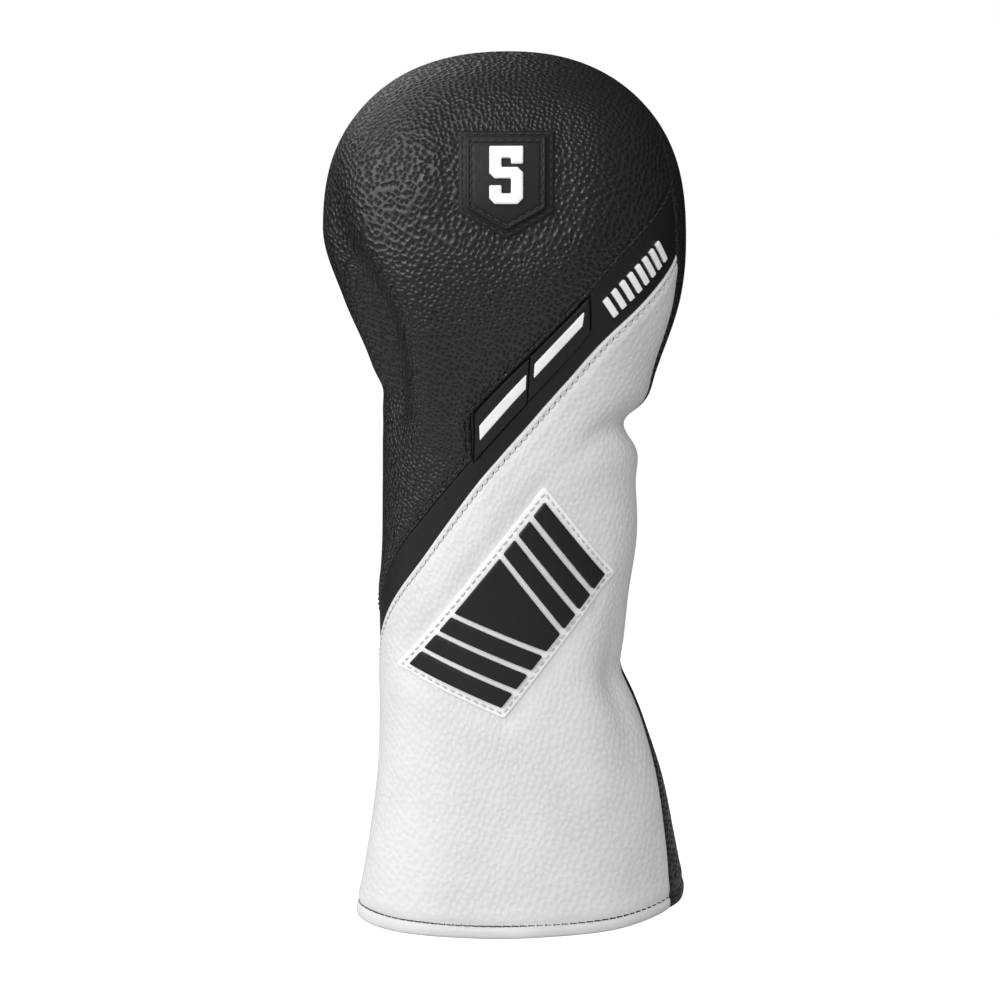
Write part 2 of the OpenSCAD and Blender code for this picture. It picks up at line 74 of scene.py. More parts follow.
# Height, then the reach to the left, right, front and back.
PROFILE = [
    [0, 48.5, 57.5, 42, 43.5],
    [20, 45.5, 54.5, 39.5, 40],
    [40, 42.5, 51, 37, 36.5],
    [60, 41, 45.5, 34.5, 33],
    [80, 41, 39, 32.5, 30.5],
    [100, 41, 40, 31.5, 29],
    [125, 39.7, 43, 31.5, 28.5],
    [150, 39.3, 42, 32.5, 29.5],
    [165, 39.3, 44, 34.5, 32],
    [180, 43, 48.8, 38, 37],
    [200, 51.3, 55, 43, 43.5],
    [222, 57.3, 56.5, 46, 47],
]
SQUARENESS = 2.3
DOME_Z = PROFILE[-1][0]
DOME_HEIGHT = DRAWN_HEIGHT - DOME_Z
DOME_POWER = 2.3
DOME_RUN = 88
POLE = DOME_Z + DOME_RUN
# Angle of the side seams by run.
LEFT_SEAM = [[0, -92], [60, -97], [150, -99], [222, -98], [265, -94], [POLE, -90]]
RIGHT_SEAM = [
    [0, 75], [20, 78], [40, 80], [60, 84], [100, 90], [150, 88], [165, 82], [180, 76],
    [193, 74], [207, 73], [222, 70], [240, 70], [265, 80], [POLE, 90],
]
# Line that the strip follows: angle, then height.
STRIP_LINE = [
    [-110, 62], [-90, 80], [-75, 94.5], [-60, 109], [-45, 121.7], [-30, 134], [-15, 145.5],
    [0, 155.5], [15, 166.3], [30, 179.5], [45, 195.5], [60, 208.8], [75, 220], [90, 228],
]
STRIP_NARROW = 9.3
STRIP_WIDE = 23
STRIP_TUCK = 3
STRIP_SINK = 0.4
JOG_PHI = -18
BACK_SEAM = 120
HEM_STITCH = 4.2
HEM_FOLD = 9

LEATHER = 1.2
EDGE_ROUND = 0.85
FLANGE = 0.5
FOAM = 3.6
FOAM_LOW = 172
LINING = 1.6
ELASTIC = 1.1
ELASTIC_HEIGHT = 24
LAYER_GAP = 0.2
STITCH_PITCH = 2.7
STITCH_LENGTH = 2.1
STITCH_RADIUS = 0.3


# ---- Curves and small helpers ----

def ease(t):
    """Smooth step from 0 to 1."""
    t = np.clip(t, 0, 1)
    return t * t * (3 - 2 * t)


def hill(distance, width):
    """Rounded bump that is 1 at no distance and gone after about two widths."""
    return np.exp(-((distance / width) ** 2))


def smooth(table, x, column=1, level_end=False):
    """Value of a table's column at x, on a smooth curve through the table's rows."""
    table = np.asarray(table, float)
    knots, values = table[:, 0], table[:, column]
    slopes = np.gradient(values, knots)
    slopes[1:-1] = (values[2:] - values[:-2]) / (knots[2:] - knots[:-2])
    if level_end:
        slopes[-1] = 0
    i = np.clip(np.searchsorted(knots, x, side="right") - 1, 0, len(knots) - 2)
    h = knots[i + 1] - knots[i]
    s = (x - knots[i]) / h
    return (
        (2 * s**3 - 3 * s**2 + 1) * values[i]
        + (s**3 - 2 * s**2 + s) * h * slopes[i]
        + (3 * s**2 - 2 * s**3) * values[i + 1]
        + (s**3 - s**2) * h * slopes[i + 1]
    )


def mix(a, b, t):
    return a + (b - a) * t


def unit(vectors):
    return vectors / np.linalg.norm(vectors, axis=-1, keepdims=True)


def in_rows(values, count):
    """A grid whose rows each repeat one of the values."""
    return np.repeat(values[:, None], count, axis=1)


def wrapped(phi):
    """The same angle, between -180 and 180."""
    return (np.asarray(phi) + 180) % 360 - 180


def add(name, data):
    """A new object in the scene."""
    made = bpy.data.objects.new(name, data)
    bpy.context.scene.collection.objects.link(made)
    return made


def aim(made, place, target):
    """Put a lamp or camera at a place, facing its target."""
    made.location = place
    made.rotation_mode = "QUATERNION"
    made.rotation_quaternion = (Vector(target) - Vector(place)).to_track_quat("-Z", "Y")


# ---- The plain outer surface, as the CAD model has it ----

def dome_angle(v):
    return np.radians(90 * np.clip((v - DOME_Z) / DOME_RUN, 0, 1))


def height_at(v):
    return np.where(v <= DOME_Z, v, DOME_Z + DOME_HEIGHT * np.sin(dome_angle(v)) ** (2 / DOME_POWER))


def run_at(z):
    """Run v of a height."""
    share = np.clip((z - DOME_Z) / DOME_HEIGHT, 0, 1)
    return np.where(z <= DOME_Z, z, DOME_Z + DOME_RUN * np.arcsin(share ** (DOME_POWER / 2)) / (np.pi / 2))


def reach(v, column):
    shrink = np.maximum(np.cos(dome_angle(v)), 1e-9) ** (2 / DOME_POWER)
    return shrink * smooth(PROFILE, np.clip(v, 0, DOME_Z), column, level_end=True)


def skin_point(phi, v):
    s = np.sin(np.radians(phi))
    c = np.cos(np.radians(phi))
    side = np.where(s < 0, reach(v, 1), reach(v, 2))
    depth = np.where(c > 0, reach(v, 3), reach(v, 4))
    sum_of_powers = np.abs(s / side) ** SQUARENESS + np.abs(c / depth) ** SQUARENESS
    radius = sum_of_powers ** (-1 / SQUARENESS)
    return np.stack([radius * s, -radius * c, height_at(v)], axis=-1)


def outward(phi, v):
    """Direction straight out of the surface. It is level at the hem, so that the cover stands flat."""
    across = skin_point(phi + 0.5, v) - skin_point(phi - 0.5, v)
    along = skin_point(phi, np.minimum(v + 0.4, POLE)) - skin_point(phi, np.maximum(v - 0.4, 0))
    normal = np.cross(across, along)
    normal[v > POLE - 0.5] = (0, 0, 1)
    normal[..., 2] *= ease(v / 6)
    return unit(normal)


def phi_at(x, v):
    """Angle on the front at which the surface is x to the right of the middle."""
    side = np.where(x < 0, reach(v, 1), reach(v, 2))
    y = reach(v, 3) * (1 - np.minimum(1, np.abs(x) / side) ** SQUARENESS) ** (1 / SQUARENESS)
    return np.degrees(np.arctan2(x, y))


def line_z(phi):
    return smooth(STRIP_LINE, phi)


def front_phi(v, u):
    """Angle at a share u of the way over the front, from the left seam to the right one."""
    return mix(smooth(LEFT_SEAM, v), smooth(RIGHT_SEAM, v), u)


def back_phi(v, u):
    """Angle at a share u of the way round the back, from the right seam to the left one."""
    return mix(smooth(RIGHT_SEAM, v), 360 + smooth(LEFT_SEAM, v), u)


def degree_run(p):
    """Millimetres round the cover for a degree."""
    return np.maximum(np.hypot(p[..., 0], p[..., 1]) * math.radians(1), 1e-6)


def low_h(phi):
    """The strip's lower edge, which lies further below its line towards the right."""
    return -np.minimum(2.3, 0.037 * np.maximum(0, phi))


def narrow_h(phi):
    """Height of the strip's narrow part, carried on past the jog."""
    return STRIP_NARROW + 0.11 * np.maximum(0, JOG_PHI - phi)


def wide_h(phi):
    return STRIP_WIDE - 0.11 * np.maximum(0, phi - 40)


# ---- Outlines on the front: points are x and z ----

def shield(half, top, shoulder, point):
    left, right = BADGE_X - half, BADGE_X + half
    return np.array([[left, top], [left, shoulder], [BADGE_X, point], [right, shoulder], [right, top]])


def facing_left(loop):
    """Directions to the left of a closed loop's segments."""
    ahead = unit(np.roll(loop, -1, axis=0) - loop)
    return np.stack([-ahead[:, 1], ahead[:, 0]], axis=1)


def inset(corners, d):
    """Corners of an outline that runs anticlockwise, moved in by d on every side."""
    after = facing_left(corners)
    before = np.roll(after, 1, axis=0)
    return corners + d * (before + after) / (1 + (before * after).sum(axis=1, keepdims=True))


def rounded(corners, radius, steps=5):
    """The outline with an arc of that radius, or as large as fits, at each corner."""
    made = []
    for before, corner, after in zip(np.roll(corners, 1, axis=0), corners, np.roll(corners, -1, axis=0)):
        a = before - corner
        b = after - corner
        la, lb = np.linalg.norm(a), np.linalg.norm(b)
        a, b = a / la, b / lb
        half = math.acos(max(-1.0, min(1.0, float(a @ b)))) / 2
        if half > math.radians(86):
            made.append(corner)
            continue
        run = min(radius / math.tan(half), 0.48 * la, 0.48 * lb)
        start, end = corner + a * run, corner + b * run
        for t in np.linspace(0, 1, steps):
            made.append((1 - t) ** 2 * start + 2 * t * (1 - t) * corner + t * t * end)
    return np.array(made)


def divided(loop, step):
    """A closed loop with points no further apart than step."""
    made = []
    for a, b in zip(loop, np.roll(loop, -1, axis=0)):
        count = max(1, math.ceil(np.linalg.norm(b - a) / step))
        made += [mix(a, b, k / count) for k in range(count)]
    return np.array(made)


def within(points, loops):
    """True for each point inside the loops, where a loop inside another is a hole."""
    inside = np.zeros(len(points), bool)
    x, z = points[:, 0:1], points[:, 1:2]
    for loop in loops:
        a, b = loop, np.roll(loop, -1, axis=0)
        crosses = (a[:, 1] > z) != (b[:, 1] > z)
        rise = np.where(a[:, 1] == b[:, 1], 1, b[:, 1] - a[:, 1])
        at = a[:, 0] + (z - a[:, 1]) * (b[:, 0] - a[:, 0]) / rise
        inside ^= (crosses & (x < at)).sum(axis=1) % 2 == 1
    return inside


def distance(points, loops):
    """Distance of each point from the nearest loop."""
    nearest = np.full(len(points), 1e9)
    for loop in loops:
        for a, b in zip(loop, np.roll(loop, -1, axis=0)):
            along = b - a
            t = np.clip((points - a) @ along / max(along @ along, 1e-12), 0, 1)
            nearest = np.minimum(nearest, np.linalg.norm(points - a - t[:, None] * along, axis=1))
    return nearest


BADGE_X = float(sum(corner[0] for corner in node_box("number_badge")) / 2)
PATCH_OUTLINE = shield(14.5, 255.2, 231, 223)
BADGE_OUTLINE = shield(11.9, 253.3, 232.4, 225.8)

EMBLEM_X = 3.1
EMBLEM_Z = 103.5
EMBLEM_LENGTH = 76
EMBLEM_WIDTH = 36
EMBLEM_SLANT = math.radians(52)
EMBLEM_LEAN = 0.267
EMBLEM_SHORT = EMBLEM_LENGTH - 2 * EMBLEM_LEAN * EMBLEM_WIDTH
MARK_BORDER = 3
MARK_GAP = 1.9
MIDDLE_HALF = 3.4
WING_BARS = 3


def emblem_at(points):
    """From the emblem's own length and width to x and z on the front."""
    along, across = np.asarray(points, float).T
    return np.stack([
        EMBLEM_X + along * math.cos(EMBLEM_SLANT) - across * math.sin(EMBLEM_SLANT),
        EMBLEM_Z + along * math.sin(EMBLEM_SLANT) + across * math.cos(EMBLEM_SLANT),
    ], axis=1)


EMBLEM_OUTLINE = emblem_at([
    [-EMBLEM_SHORT / 2, -EMBLEM_WIDTH / 2],
    [EMBLEM_SHORT / 2, -EMBLEM_WIDTH / 2],
    [EMBLEM_LENGTH / 2, EMBLEM_WIDTH / 2],
    [-EMBLEM_LENGTH / 2, EMBLEM_WIDTH / 2],
])


# ---- The soft surface: the plain one with its creases, pinches, dents and gathers ----

# Crease in the left of the crown: run, angle and depth.
CREASE = [
    [154, -66, 0], [168, -62, 4], [180, -58, 6.6], [192, -55, 7.2], [202, -55, 6.4],
    [212, -58, 4.6], [224, -64, 2.4], [238, -72, 0.8], [252, -78, 0],
]
# Fold round the right of the throat: angle, run and depth.
PINCH = [
    [26, 153, 0], [38, 155.7, 0.5], [48, 160, 1.4], [60, 161.5, 2.8], [75, 160, 4.4],
    [90, 158, 5.2], [102, 157, 4.2], [118, 156, 1.6], [142, 156, 0],
]
# Where the hem bulges: angle and height over the plain surface. It is boxy at the front left.
HEM = [
    [-130, 0], [-104, -1], [-90, -1.6], [-77, 0.3], [-65, 4.0], [-55, 4.5], [-45, 3.8], [-34, 2.4],
    [-19, 1.2], [0, 1.1], [22, 0], [45, -0.4], [58, -1.4], [70, -1.2], [84, 1.2], [98, 2.2], [125, 0],
]


def row(table, x, column):
    """Column of a table, held at its ends."""
    return smooth(table, np.clip(x, table[0][0], table[-1][0]), column)


def strip_distance(phi, z, per_degree):
    """Distance outside the strip's edges, which is 0 on the strip. The jog is softened."""
    rise = z - line_z(np.clip(phi, -110, 90))
    slope = (line_z(np.clip(phi + 1, -110, 90)) - line_z(np.clip(phi - 1, -110, 90))) / 2 / per_degree
    top = mix(narrow_h(phi), wide_h(phi), ease((phi - JOG_PHI + 5) / 10))
    return np.maximum(0, np.maximum(low_h(phi) - rise, rise - top)) / np.sqrt(1 + slope**2)


def outline_pull(points, facing, loop, depth, width):
    """How far a sewn-on patch pulls the leather in, under it and round it."""
    outside = np.where(within(points, [loop]), 0, distance(points, [loop]))
    return depth * hill(outside, width) * facing


def gathers(phi, v):
    """Upright folds in the back, where the elastic draws the throat in."""
    right = smooth(RIGHT_SEAM, v)
    u = (phi % 360 - right) / (360 + smooth(LEFT_SEAM, v) - right)
    inside = ease(u / 0.1) * ease((1 - u) / 0.1)
    lean = (v - BACK_SEAM) / 90
    tight = np.sin(2 * np.pi * (12.5 * u + 0.55 * np.sin(8 * u + 1) + 0.6 * lean * np.sin(5 * u + 2)))
    broad = np.sin(2 * np.pi * (5 * u + 0.35 * np.sin(6 * u) + 0.25 + 0.5 * lean * (u - 0.5)))
    level = v - BACK_SEAM
    return inside * (
        1.1 * tight * hill(level, 16) + 1.8 * broad * hill(level, 36) - 2.0 * hill(level, 17)
    )


def relief(phi, v):
    """Height of the soft surface over the plain one."""
    p = skin_point(phi, v)
    x, y, z = p[..., 0], p[..., 1], p[..., 2]
    per_degree = degree_run(p)
    angle = wrapped(phi)
    front = ease((100 - np.abs(angle)) / 12)
    out = (
        0.30 * np.sin(x / 17 + 1.3) * np.cos(z / 23 + 0.4)
        + 0.22 * np.sin(y / 13 + z / 31 + 2.1)
        + 0.16 * np.sin((x + z) / 9 + 0.7) * np.cos(y / 15 + z / 14)
    ) * ease(v / 15)

    crease_depth = row(CREASE, v, 2)
    beside = (angle - row(CREASE, v, 1)) * per_degree
    out = out + crease_depth * (0.44 * hill(beside - 15, 8) - hill(beside + 1, 9))
    # Left of the crease the crown is a little flat, with a fold under it.
    out = out - 0.6 * hill(v - 202, 24) * hill(angle + 88, 34)
    out = out - 1.3 * hill(v - 170, 4.5) * ease((-56 - angle) / 10) * ease((angle + 140) / 20)

    pinch_depth = row(PINCH, angle, 2)
    above = v - row(PINCH, angle, 1)
    out = out + pinch_depth * (0.16 * hill(np.abs(above) - 11, 5) - hill(above, 5))

    # The skirt: a fold at its waist on the right, a dent and a ridge that run down from there, and a
    # dent low on the front.
    out = out - 1.2 * hill(v - 79, 6) * ease((angle - 45) / 20) * ease((130 - angle) / 20)
    out = out - 1.5 * hill((angle - 64) * per_degree, 7) * hill(v - 76, 24)
    out = out + 0.9 * hill((angle - 45) * per_degree, 9) * hill(v - 60, 30)
    out = out - 1.1 * hill(x + 2, 13) * hill(z - 28, 13) * front

    out = out + row(HEM, angle, 1) * ease(1 - v / 66)

    # The leather dips towards the strip, the side seams and the sewn-on patches.
    dip = 1.3 * ease((62 - np.abs(angle + 6)) / 26)
    out = out - dip * hill(strip_distance(angle, z, per_degree), 6.5)
    for seam in (LEFT_SEAM, RIGHT_SEAM):
        beside = wrapped(angle - smooth(seam, v)) * per_degree
        out = out - 0.25 * hill(beside, 4) - 0.5 * np.exp(-np.abs(beside) / 1.2)

    flat = np.stack([x.ravel(), z.ravel()], axis=1)
    facing = ease((60 - np.abs(angle)) / 10).ravel()
    pull = outline_pull(flat, facing, PATCH_OUTLINE, 1.9, 8)
    pull = pull + outline_pull(flat, facing, EMBLEM_OUTLINE, 0.9, 4.5)
    return out - pull.reshape(x.shape) + gathers(phi, v)


def cover(phi, v, out=0.0):
    """Points of the soft surface, or of a layer that lies out above it or below it."""
    phi, v, out = np.broadcast_arrays(np.asarray(phi, float), np.asarray(v, float), np.asarray(out, float))
    return skin_point(phi, v) + (relief(phi, v) + out)[..., None] * outward(phi, v)


# ---- Making pieces ----

def piece(name, points, faces, material_slot, node, fields=None):
    """A shown piece of the object that stands for a CAD node. fields are numbers for its material."""
    used = np.unique(np.concatenate([np.ravel(f) for f in faces]))
    place = np.zeros(len(points), int)
    place[used] = np.arange(len(used))
    mesh = bpy.data.meshes.new(name)
    mesh.from_pydata((points[used] * UNIT).tolist(), [], [place[list(f)].tolist() for f in faces])
    mesh.shade_smooth()
    for field, values in (fields or {}).items():
        flat = values[used].astype(np.float32)
        if flat.ndim == 1:
            mesh.attributes.new(field, "FLOAT", "POINT").data.foreach_set("value", flat)
        else:
            mesh.attributes.new(field, "FLOAT_VECTOR", "POINT").data.foreach_set("vector", flat.ravel())
    mesh.materials.append(MATERIALS[material_slot])
    made = add(name, mesh)
    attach(made, "root")
    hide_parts(node)
    return made


def shell(outer, inner, faces):
    """Points and faces of a closed solid from two sheets of points that share their faces."""
    outer, inner = outer.reshape(-1, 3), inner.reshape(-1, 3)
    count = len(outer)
    edges = {(a, b) for f in faces for a, b in zip(f, f[1:] + f[:1])}
    rim = [(b, a, a + count, b + count) for a, b in sorted(edges) if (b, a) not in edges]
    back = [tuple(i + count for i in reversed(f)) for f in faces]
    return np.vstack([outer, inner]), list(faces) + back + rim


def grid_faces(rows, cols, keep=None, wrap=False, pole=False):
    """Quads over rows x cols points. keep says which cells are there, and a pole closes the last row."""
    faces = []
    for r in range(rows - 1):
        for c in range(cols if wrap else cols - 1):
            if keep is not None and not keep[r, c]:
                continue
            low = r * cols + c, r * cols + (c + 1) % cols
            if pole and r == rows - 2:
                faces.append((*low, (rows - 1) * cols))
            else:
                faces.append((*low, low[1] + cols, low[0] + cols))
    return faces


FINE_STEPS = np.array([0, 0.15, 0.35, 0.6, 0.85, 1.1, 1.35, 1.6, 1.9, 2.25, 2.7, 3.3])


def graded(length, step, start=True, end=True):
    """Fractions along a length, closer together near its ends."""
    head = FINE_STEPS if start else np.array([0.0])
    tail = length - FINE_STEPS[::-1] if end else np.array([float(length)])
    count = max(2, round((tail[0] - head[-1]) / step))
    middle = np.linspace(head[-1], tail[0], count + 1)[1:-1]
    return np.concatenate([head, middle, tail]) / length


def rolled(gap, radius):
    """How far a rounded edge has fallen below the face at a distance from the edge."""
    short = np.clip(radius - gap, 0, radius)
    return radius - np.sqrt(radius**2 - short**2)


def furrow(gap, line, along):
    """Furrow that a row of stitches draws in leather, with the leather puffed up beside it."""
    pull = 0.7 + 0.3 * np.cos(2 * np.pi * along)
    return 0.42 * pull * hill(gap - line, 0.5) - 0.25 * hill(gap - line - 2.6, 1.7)


def seam_gap(phi, v):
    """Distance from the nearer side seam."""
    p = skin_point(phi, v)
    per_degree = np.hypot(p[..., 0], p[..., 1]) * math.radians(1)
    turns = [np.abs(wrapped(phi - smooth(seam, v))) for seam in (LEFT_SEAM, RIGHT_SEAM)]
    return np.minimum(*turns) * per_degree


def strip_frame(phi, v):
    """Rise over the strip line, millimetres for a degree, and what turns a rise into a distance."""
    p = skin_point(phi, v)
    per_degree = degree_run(p)
    held = np.clip(phi, -109, 89)
    slope = (line_z(held + 1) - line_z(held - 1)) / 2 / per_degree
    return p[..., 2] - line_z(held), per_degree, 1 / np.sqrt(1 + slope**2)


def edge_run(points):
    """Length along a row of points up to each of them."""
    steps = np.linalg.norm(np.diff(points, axis=0), axis=1)
    return np.concatenate([[0], np.cumsum(steps)])


def front_columns(step):
    """Column numbers from 0 at the left seam, over 1 at the jog, to 2 at the right seam."""
    return np.concatenate([graded(72, step), 1 + graded(95, step)[1:]])


def column_phi(v, c):
    """Angle of a column of the front. The column at the jog is upright."""
    return np.where(c < 1, mix(smooth(LEFT_SEAM, v), JOG_PHI, c), mix(JOG_PHI, smooth(RIGHT_SEAM, v), c - 1))


def column_v(c, height, rise=0.0):
    """Run at which each column reaches the strip line plus a height."""
    v = np.full(len(c), 150.0)
    for _ in range(30):
        phi = np.clip(column_phi(v, c), -110, 90)
        v = mix(v, run_at(line_z(phi) + height(phi) + rise), 0.7)
    return v


EDGE_STITCH = 1.25
SKIRT_STITCH = 1.8
NO_LINE = (99.0, 0.0)


def leather(name, node, phi, v, gaps, slot="black_leather", hem=False, sink=0.0, line=NO_LINE, keep=None,
            pole=False):
    """A leather panel over a grid of places, with its lower edge turned in where it has a hem.

    gaps are distances from its cut edges, sink is how far its face lies in the furrows of stitches, and
    line is the distance from a row of stitches and the number of stitches along it.
    """
    edge_gap = np.minimum.reduce(gaps)
    # The edge field masks painted shade, which darkens the leather towards its rolled cut edges.
    fields = {"edge": np.exp(-edge_gap / 1.4), "line": line[0], "along": line[1]}
    fall = rolled(edge_gap, EDGE_ROUND)
    thick = LEATHER
    if hem:
        fold = rolled(v, LEATHER)
        fall = np.maximum(fall, fold)
        thick = np.where(v < HEM_FOLD, 2 * LEATHER, LEATHER) - np.where(v < LEATHER, fold, 0)
        fields["smooth_band"] = ease((HEM_FOLD - v) / 4)
    faces = grid_faces(*phi.shape, keep, pole=pole)
    points, faces = shell(cover(phi, v, -fall - sink), cover(phi, v, -thick), faces)
    for field, values in fields.items():
        flat = np.broadcast_to(values, phi.shape).ravel()
        fields[field] = np.concatenate([flat, flat])
    fields["line"][phi.size:] = NO_LINE[0]
    for field, laid_out in zip(("side_hide", "dome_hide"), hide_places(phi, v)):
        fields[field] = np.tile(laid_out, (2, 1))
        fields[field][phi.size:, 0] += 500
    return piece(name, points, faces, slot, node, fields)


HIDE_RADIUS = 48
HIDE_SLANT = math.radians(28)


def hide_places(phi, v):
    """Place in a flat hide in millimetres: one laid round the sides, and one laid over the dome."""
    middle = 0 if phi.mean() < 100 else 180
    around = np.radians(phi - middle) * HIDE_RADIUS + 3 * middle
    turn = np.radians(phi)
    x = around * math.cos(HIDE_SLANT) - v * math.sin(HIDE_SLANT)
    y = around * math.sin(HIDE_SLANT) + v * math.cos(HIDE_SLANT)
    sides = np.stack([x, y, ease((v - 246) / 14)], axis=-1)
    dome = np.stack([(POLE - v) * np.sin(turn), (POLE - v) * np.cos(turn), 0 * v], axis=-1)
    return sides.reshape(-1, 3), dome.reshape(-1, 3)


def crown_gap(phi, v):
    """Distance of the crown's leather from the strip, round the jog's two corners."""
    rise, per_degree, slant = strip_frame(phi, v)
    over_narrow = (rise - narrow_h(phi)) * slant
    beside_jog = np.maximum(0, (JOG_PHI - phi) * per_degree)
    over_wide = np.maximum(0, (rise - wide_h(phi)) * slant)
    return np.maximum(0, np.minimum(over_narrow, np.hypot(beside_jog, over_wide)))


def crown_leather():
    c = front_columns(0.95)
    low = column_v(c, narrow_h)
    high = column_v(c, wide_h)
    below = graded((STRIP_WIDE - STRIP_NARROW) * 0.66, 0.8)
    above = graded(150, 0.95, end=False)
    v = np.vstack([mix(low, high, t) for t in below[:-1]] + [mix(high, POLE, t) for t in above])
    phi = column_phi(v, c)
    keep = np.ones((len(v) - 1, len(c) - 1), bool)
    keep[: len(below) - 1, c[:-1] >= 1] = False
    strip = crown_gap(phi, v)
    along = np.broadcast_to(edge_run(cover(phi[len(below) - 1], high)), v.shape) / STITCH_PITCH
    sink = furrow(strip, EDGE_STITCH, along)
    gaps = [strip, seam_gap(phi, v)]
    return leather("crown_leather", "crown_panel", phi, v, gaps, sink=sink, keep=keep, pole=True)


def beside_strip(c, height, gap):
    """Angles and runs of a line that keeps its distance from an edge of the strip."""
    v = column_v(c, height)
    slant = strip_frame(column_phi(v, c), v)[2]
    v = column_v(c, height, gap / slant)
    return column_phi(v, c), v


def skirt_stitch_line():
    c = np.linspace(0.02, 1.97, 500)
    return c, *beside_strip(c, low_h, -SKIRT_STITCH)


def hem_stitch_line(back):
    u = np.linspace(0.004, 0.996, 500)
    v = np.full(len(u), float(HEM_STITCH))
    phi = back_phi(v, u) if back else front_phi(v, u)
    return u, phi, v


def stitch_count(phi, v):
    """Run along a line in stitches, which fill it evenly from end to end."""
    run = edge_run(cover(phi, v))
    return run * max(1, round(run[-1] / STITCH_PITCH)) / run[-1]


def front_skirt_leather():
    c = front_columns(0.95)
    top = column_v(c, low_h)
    v = np.vstack([top * t for t in graded(150, 0.85)])
    phi = column_phi(v, c)
    rise, _, slant = strip_frame(phi, v)
    strip = np.maximum(0, (low_h(phi) - rise) * slant)
    at_c, line_phi, line_v = skirt_stitch_line()
    strip_along = np.interp(c, at_c, stitch_count(line_phi, line_v))
    _, line_phi, line_v = hem_stitch_line(back=False)
    hem_along = np.interp(phi[0], line_phi, stitch_count(line_phi, line_v))
    sink = furrow(strip, SKIRT_STITCH, strip_along) + hem_furrow(v, hem_along)
    low = v < 30
    line = np.where(low, v - HEM_STITCH, strip - SKIRT_STITCH), np.where(low, hem_along, strip_along)
    gaps = [strip, seam_gap(phi, v)]
    return leather("front_skirt_leather", "front_skirt_panel", phi, v, gaps, "white_leather", hem=True,
                   sink=sink, line=line)


def hem_furrow(v, along):
    """Furrow of the hem's stitching, over a fold that stands a little proud."""
    pull = 0.85 + 0.15 * np.cos(2 * np.pi * along)
    return 0.5 * pull * hill(v - HEM_STITCH, 0.5) - 0.3 * hill(v - 2.3, 1.3) - 0.25 * hill(v - 7, 2.2)


def back_leathers():
    u = graded(150, 0.95)
    v_up = in_rows(mix(BACK_SEAM, POLE, graded(190, 1.0, end=False)), len(u))
    phi = back_phi(v_up, u)
    gaps = [v_up - BACK_SEAM, seam_gap(phi, v_up)]
    upper = leather("back_upper_leather", "back_upper_panel", phi, v_up, gaps, pole=True)
    v_low = in_rows(BACK_SEAM * graded(BACK_SEAM, 0.95), len(u))
    phi = back_phi(v_low, u)
    along = edge_run(cover(phi[-1], v_low[-1])) / STITCH_PITCH
    hem_along = edge_run(cover(phi[0], v_low[0] + HEM_STITCH)) / STITCH_PITCH
    sink = furrow(BACK_SEAM - v_low, SKIRT_STITCH, along) + hem_furrow(v_low, hem_along)
    gaps = [BACK_SEAM - v_low, seam_gap(phi, v_low)]
    lower = leather("back_skirt_leather", "back_skirt_panel", phi, v_low, gaps, hem=True, sink=sink)
    return upper, lower


# ---- Padding, lining and elastic ----

def layer_piece(name, phi, v, outer_depth, inner_depth, slot, node, wrap=False, pole=False):
    faces = grid_faces(*phi.shape, wrap=wrap, pole=pole)
    return piece(name, *shell(cover(phi, v, -outer_depth), cover(phi, v, -inner_depth), faces), slot, node)


def foam_pad(name, node, back):
    """Foam with soft, feathered edges."""
    u = graded(130, 2.5)
    v = in_rows(mix(FOAM_LOW, POLE - 6, graded(130, 2.5)), len(u))
    inner_u = 0.03 + 0.94 * u
    phi = back_phi(v, inner_u) if back else front_phi(v, inner_u)
    edge = np.minimum(np.minimum(u, 1 - u) * 110, np.minimum((v - FOAM_LOW) * 0.5, POLE - 6 - v))
    swell = np.sqrt(1 - (1 - np.clip(edge / 5, 0, 1)) ** 2)
    top = LEATHER + FLANGE
    middle = top + FOAM / 2
    half = FOAM / 2 * (0.12 + 0.88 * swell)
    return layer_piece(name, phi, v, middle - half, middle + half, "foam", node)


def lining_depth(v):
    """Depth of the lining: behind the foam in the crown, and behind the elastic in the throat."""
    crown = LEATHER + FLANGE + FOAM + LAYER_GAP
    throat = LEATHER + ELASTIC + 2 * LAYER_GAP
    hem = 2 * LEATHER + LAYER_GAP
    return np.where(v > 90, mix(throat, crown, ease((v - 150) / 26)), mix(hem, throat, ease((v - 30) / 30)))


LINING_SPLIT = 160


def lining(name, node, low, high, pole):
    columns = 150
    v = in_rows(np.linspace(low, high, round((high - low) / 1.8)), columns)
    phi = np.broadcast_to(np.arange(columns) * 360 / columns, v.shape)
    pile = 0.12 * np.sin(v * 1.9 + phi * 0.7) * np.sin(phi * 1.3 - v)
    depth = lining_depth(v)
    ends = LINING / 2 * (1 - np.clip((v - low) / 1.8, 0, 1)) if not pole else 0
    return layer_piece(name, phi, v, depth + ends, depth + LINING - ends + pile * ease((POLE - v) / 4),
                       "lining", node, wrap=True, pole=pole)


def throat_band():
    """Woven elastic with rows of rubber that stand out as ribs."""
    u = np.linspace(0.06, 0.94, 130)
    v = in_rows(BACK_SEAM + ELASTIC_HEIGHT * (graded(ELASTIC_HEIGHT, 0.5) - 0.5), len(u))
    rib = 0.14 * np.cos(2 * np.pi * (v - BACK_SEAM) / 2.4)
    top = LEATHER + LAYER_GAP
    return layer_piece("throat_elastic_band", back_phi(v, u), v, top + 0.14 - rib, top + ELASTIC - 0.14 + rib,
                       "elastic", "throat_elastic")


# ---- The strip and the flat pieces ----

def on_front(points, out):
    v = run_at(points[:, 1])
    return cover(phi_at(points[:, 0], v), v, out)


STRIP_SCALE = 0.72


def on_strip(points, out):
    """Flat pieces on the strip are drawn at STRIP_SCALE millimetres for a degree, by height."""
    return cover(points[:, 0] / STRIP_SCALE, run_at(points[:, 1]), out)


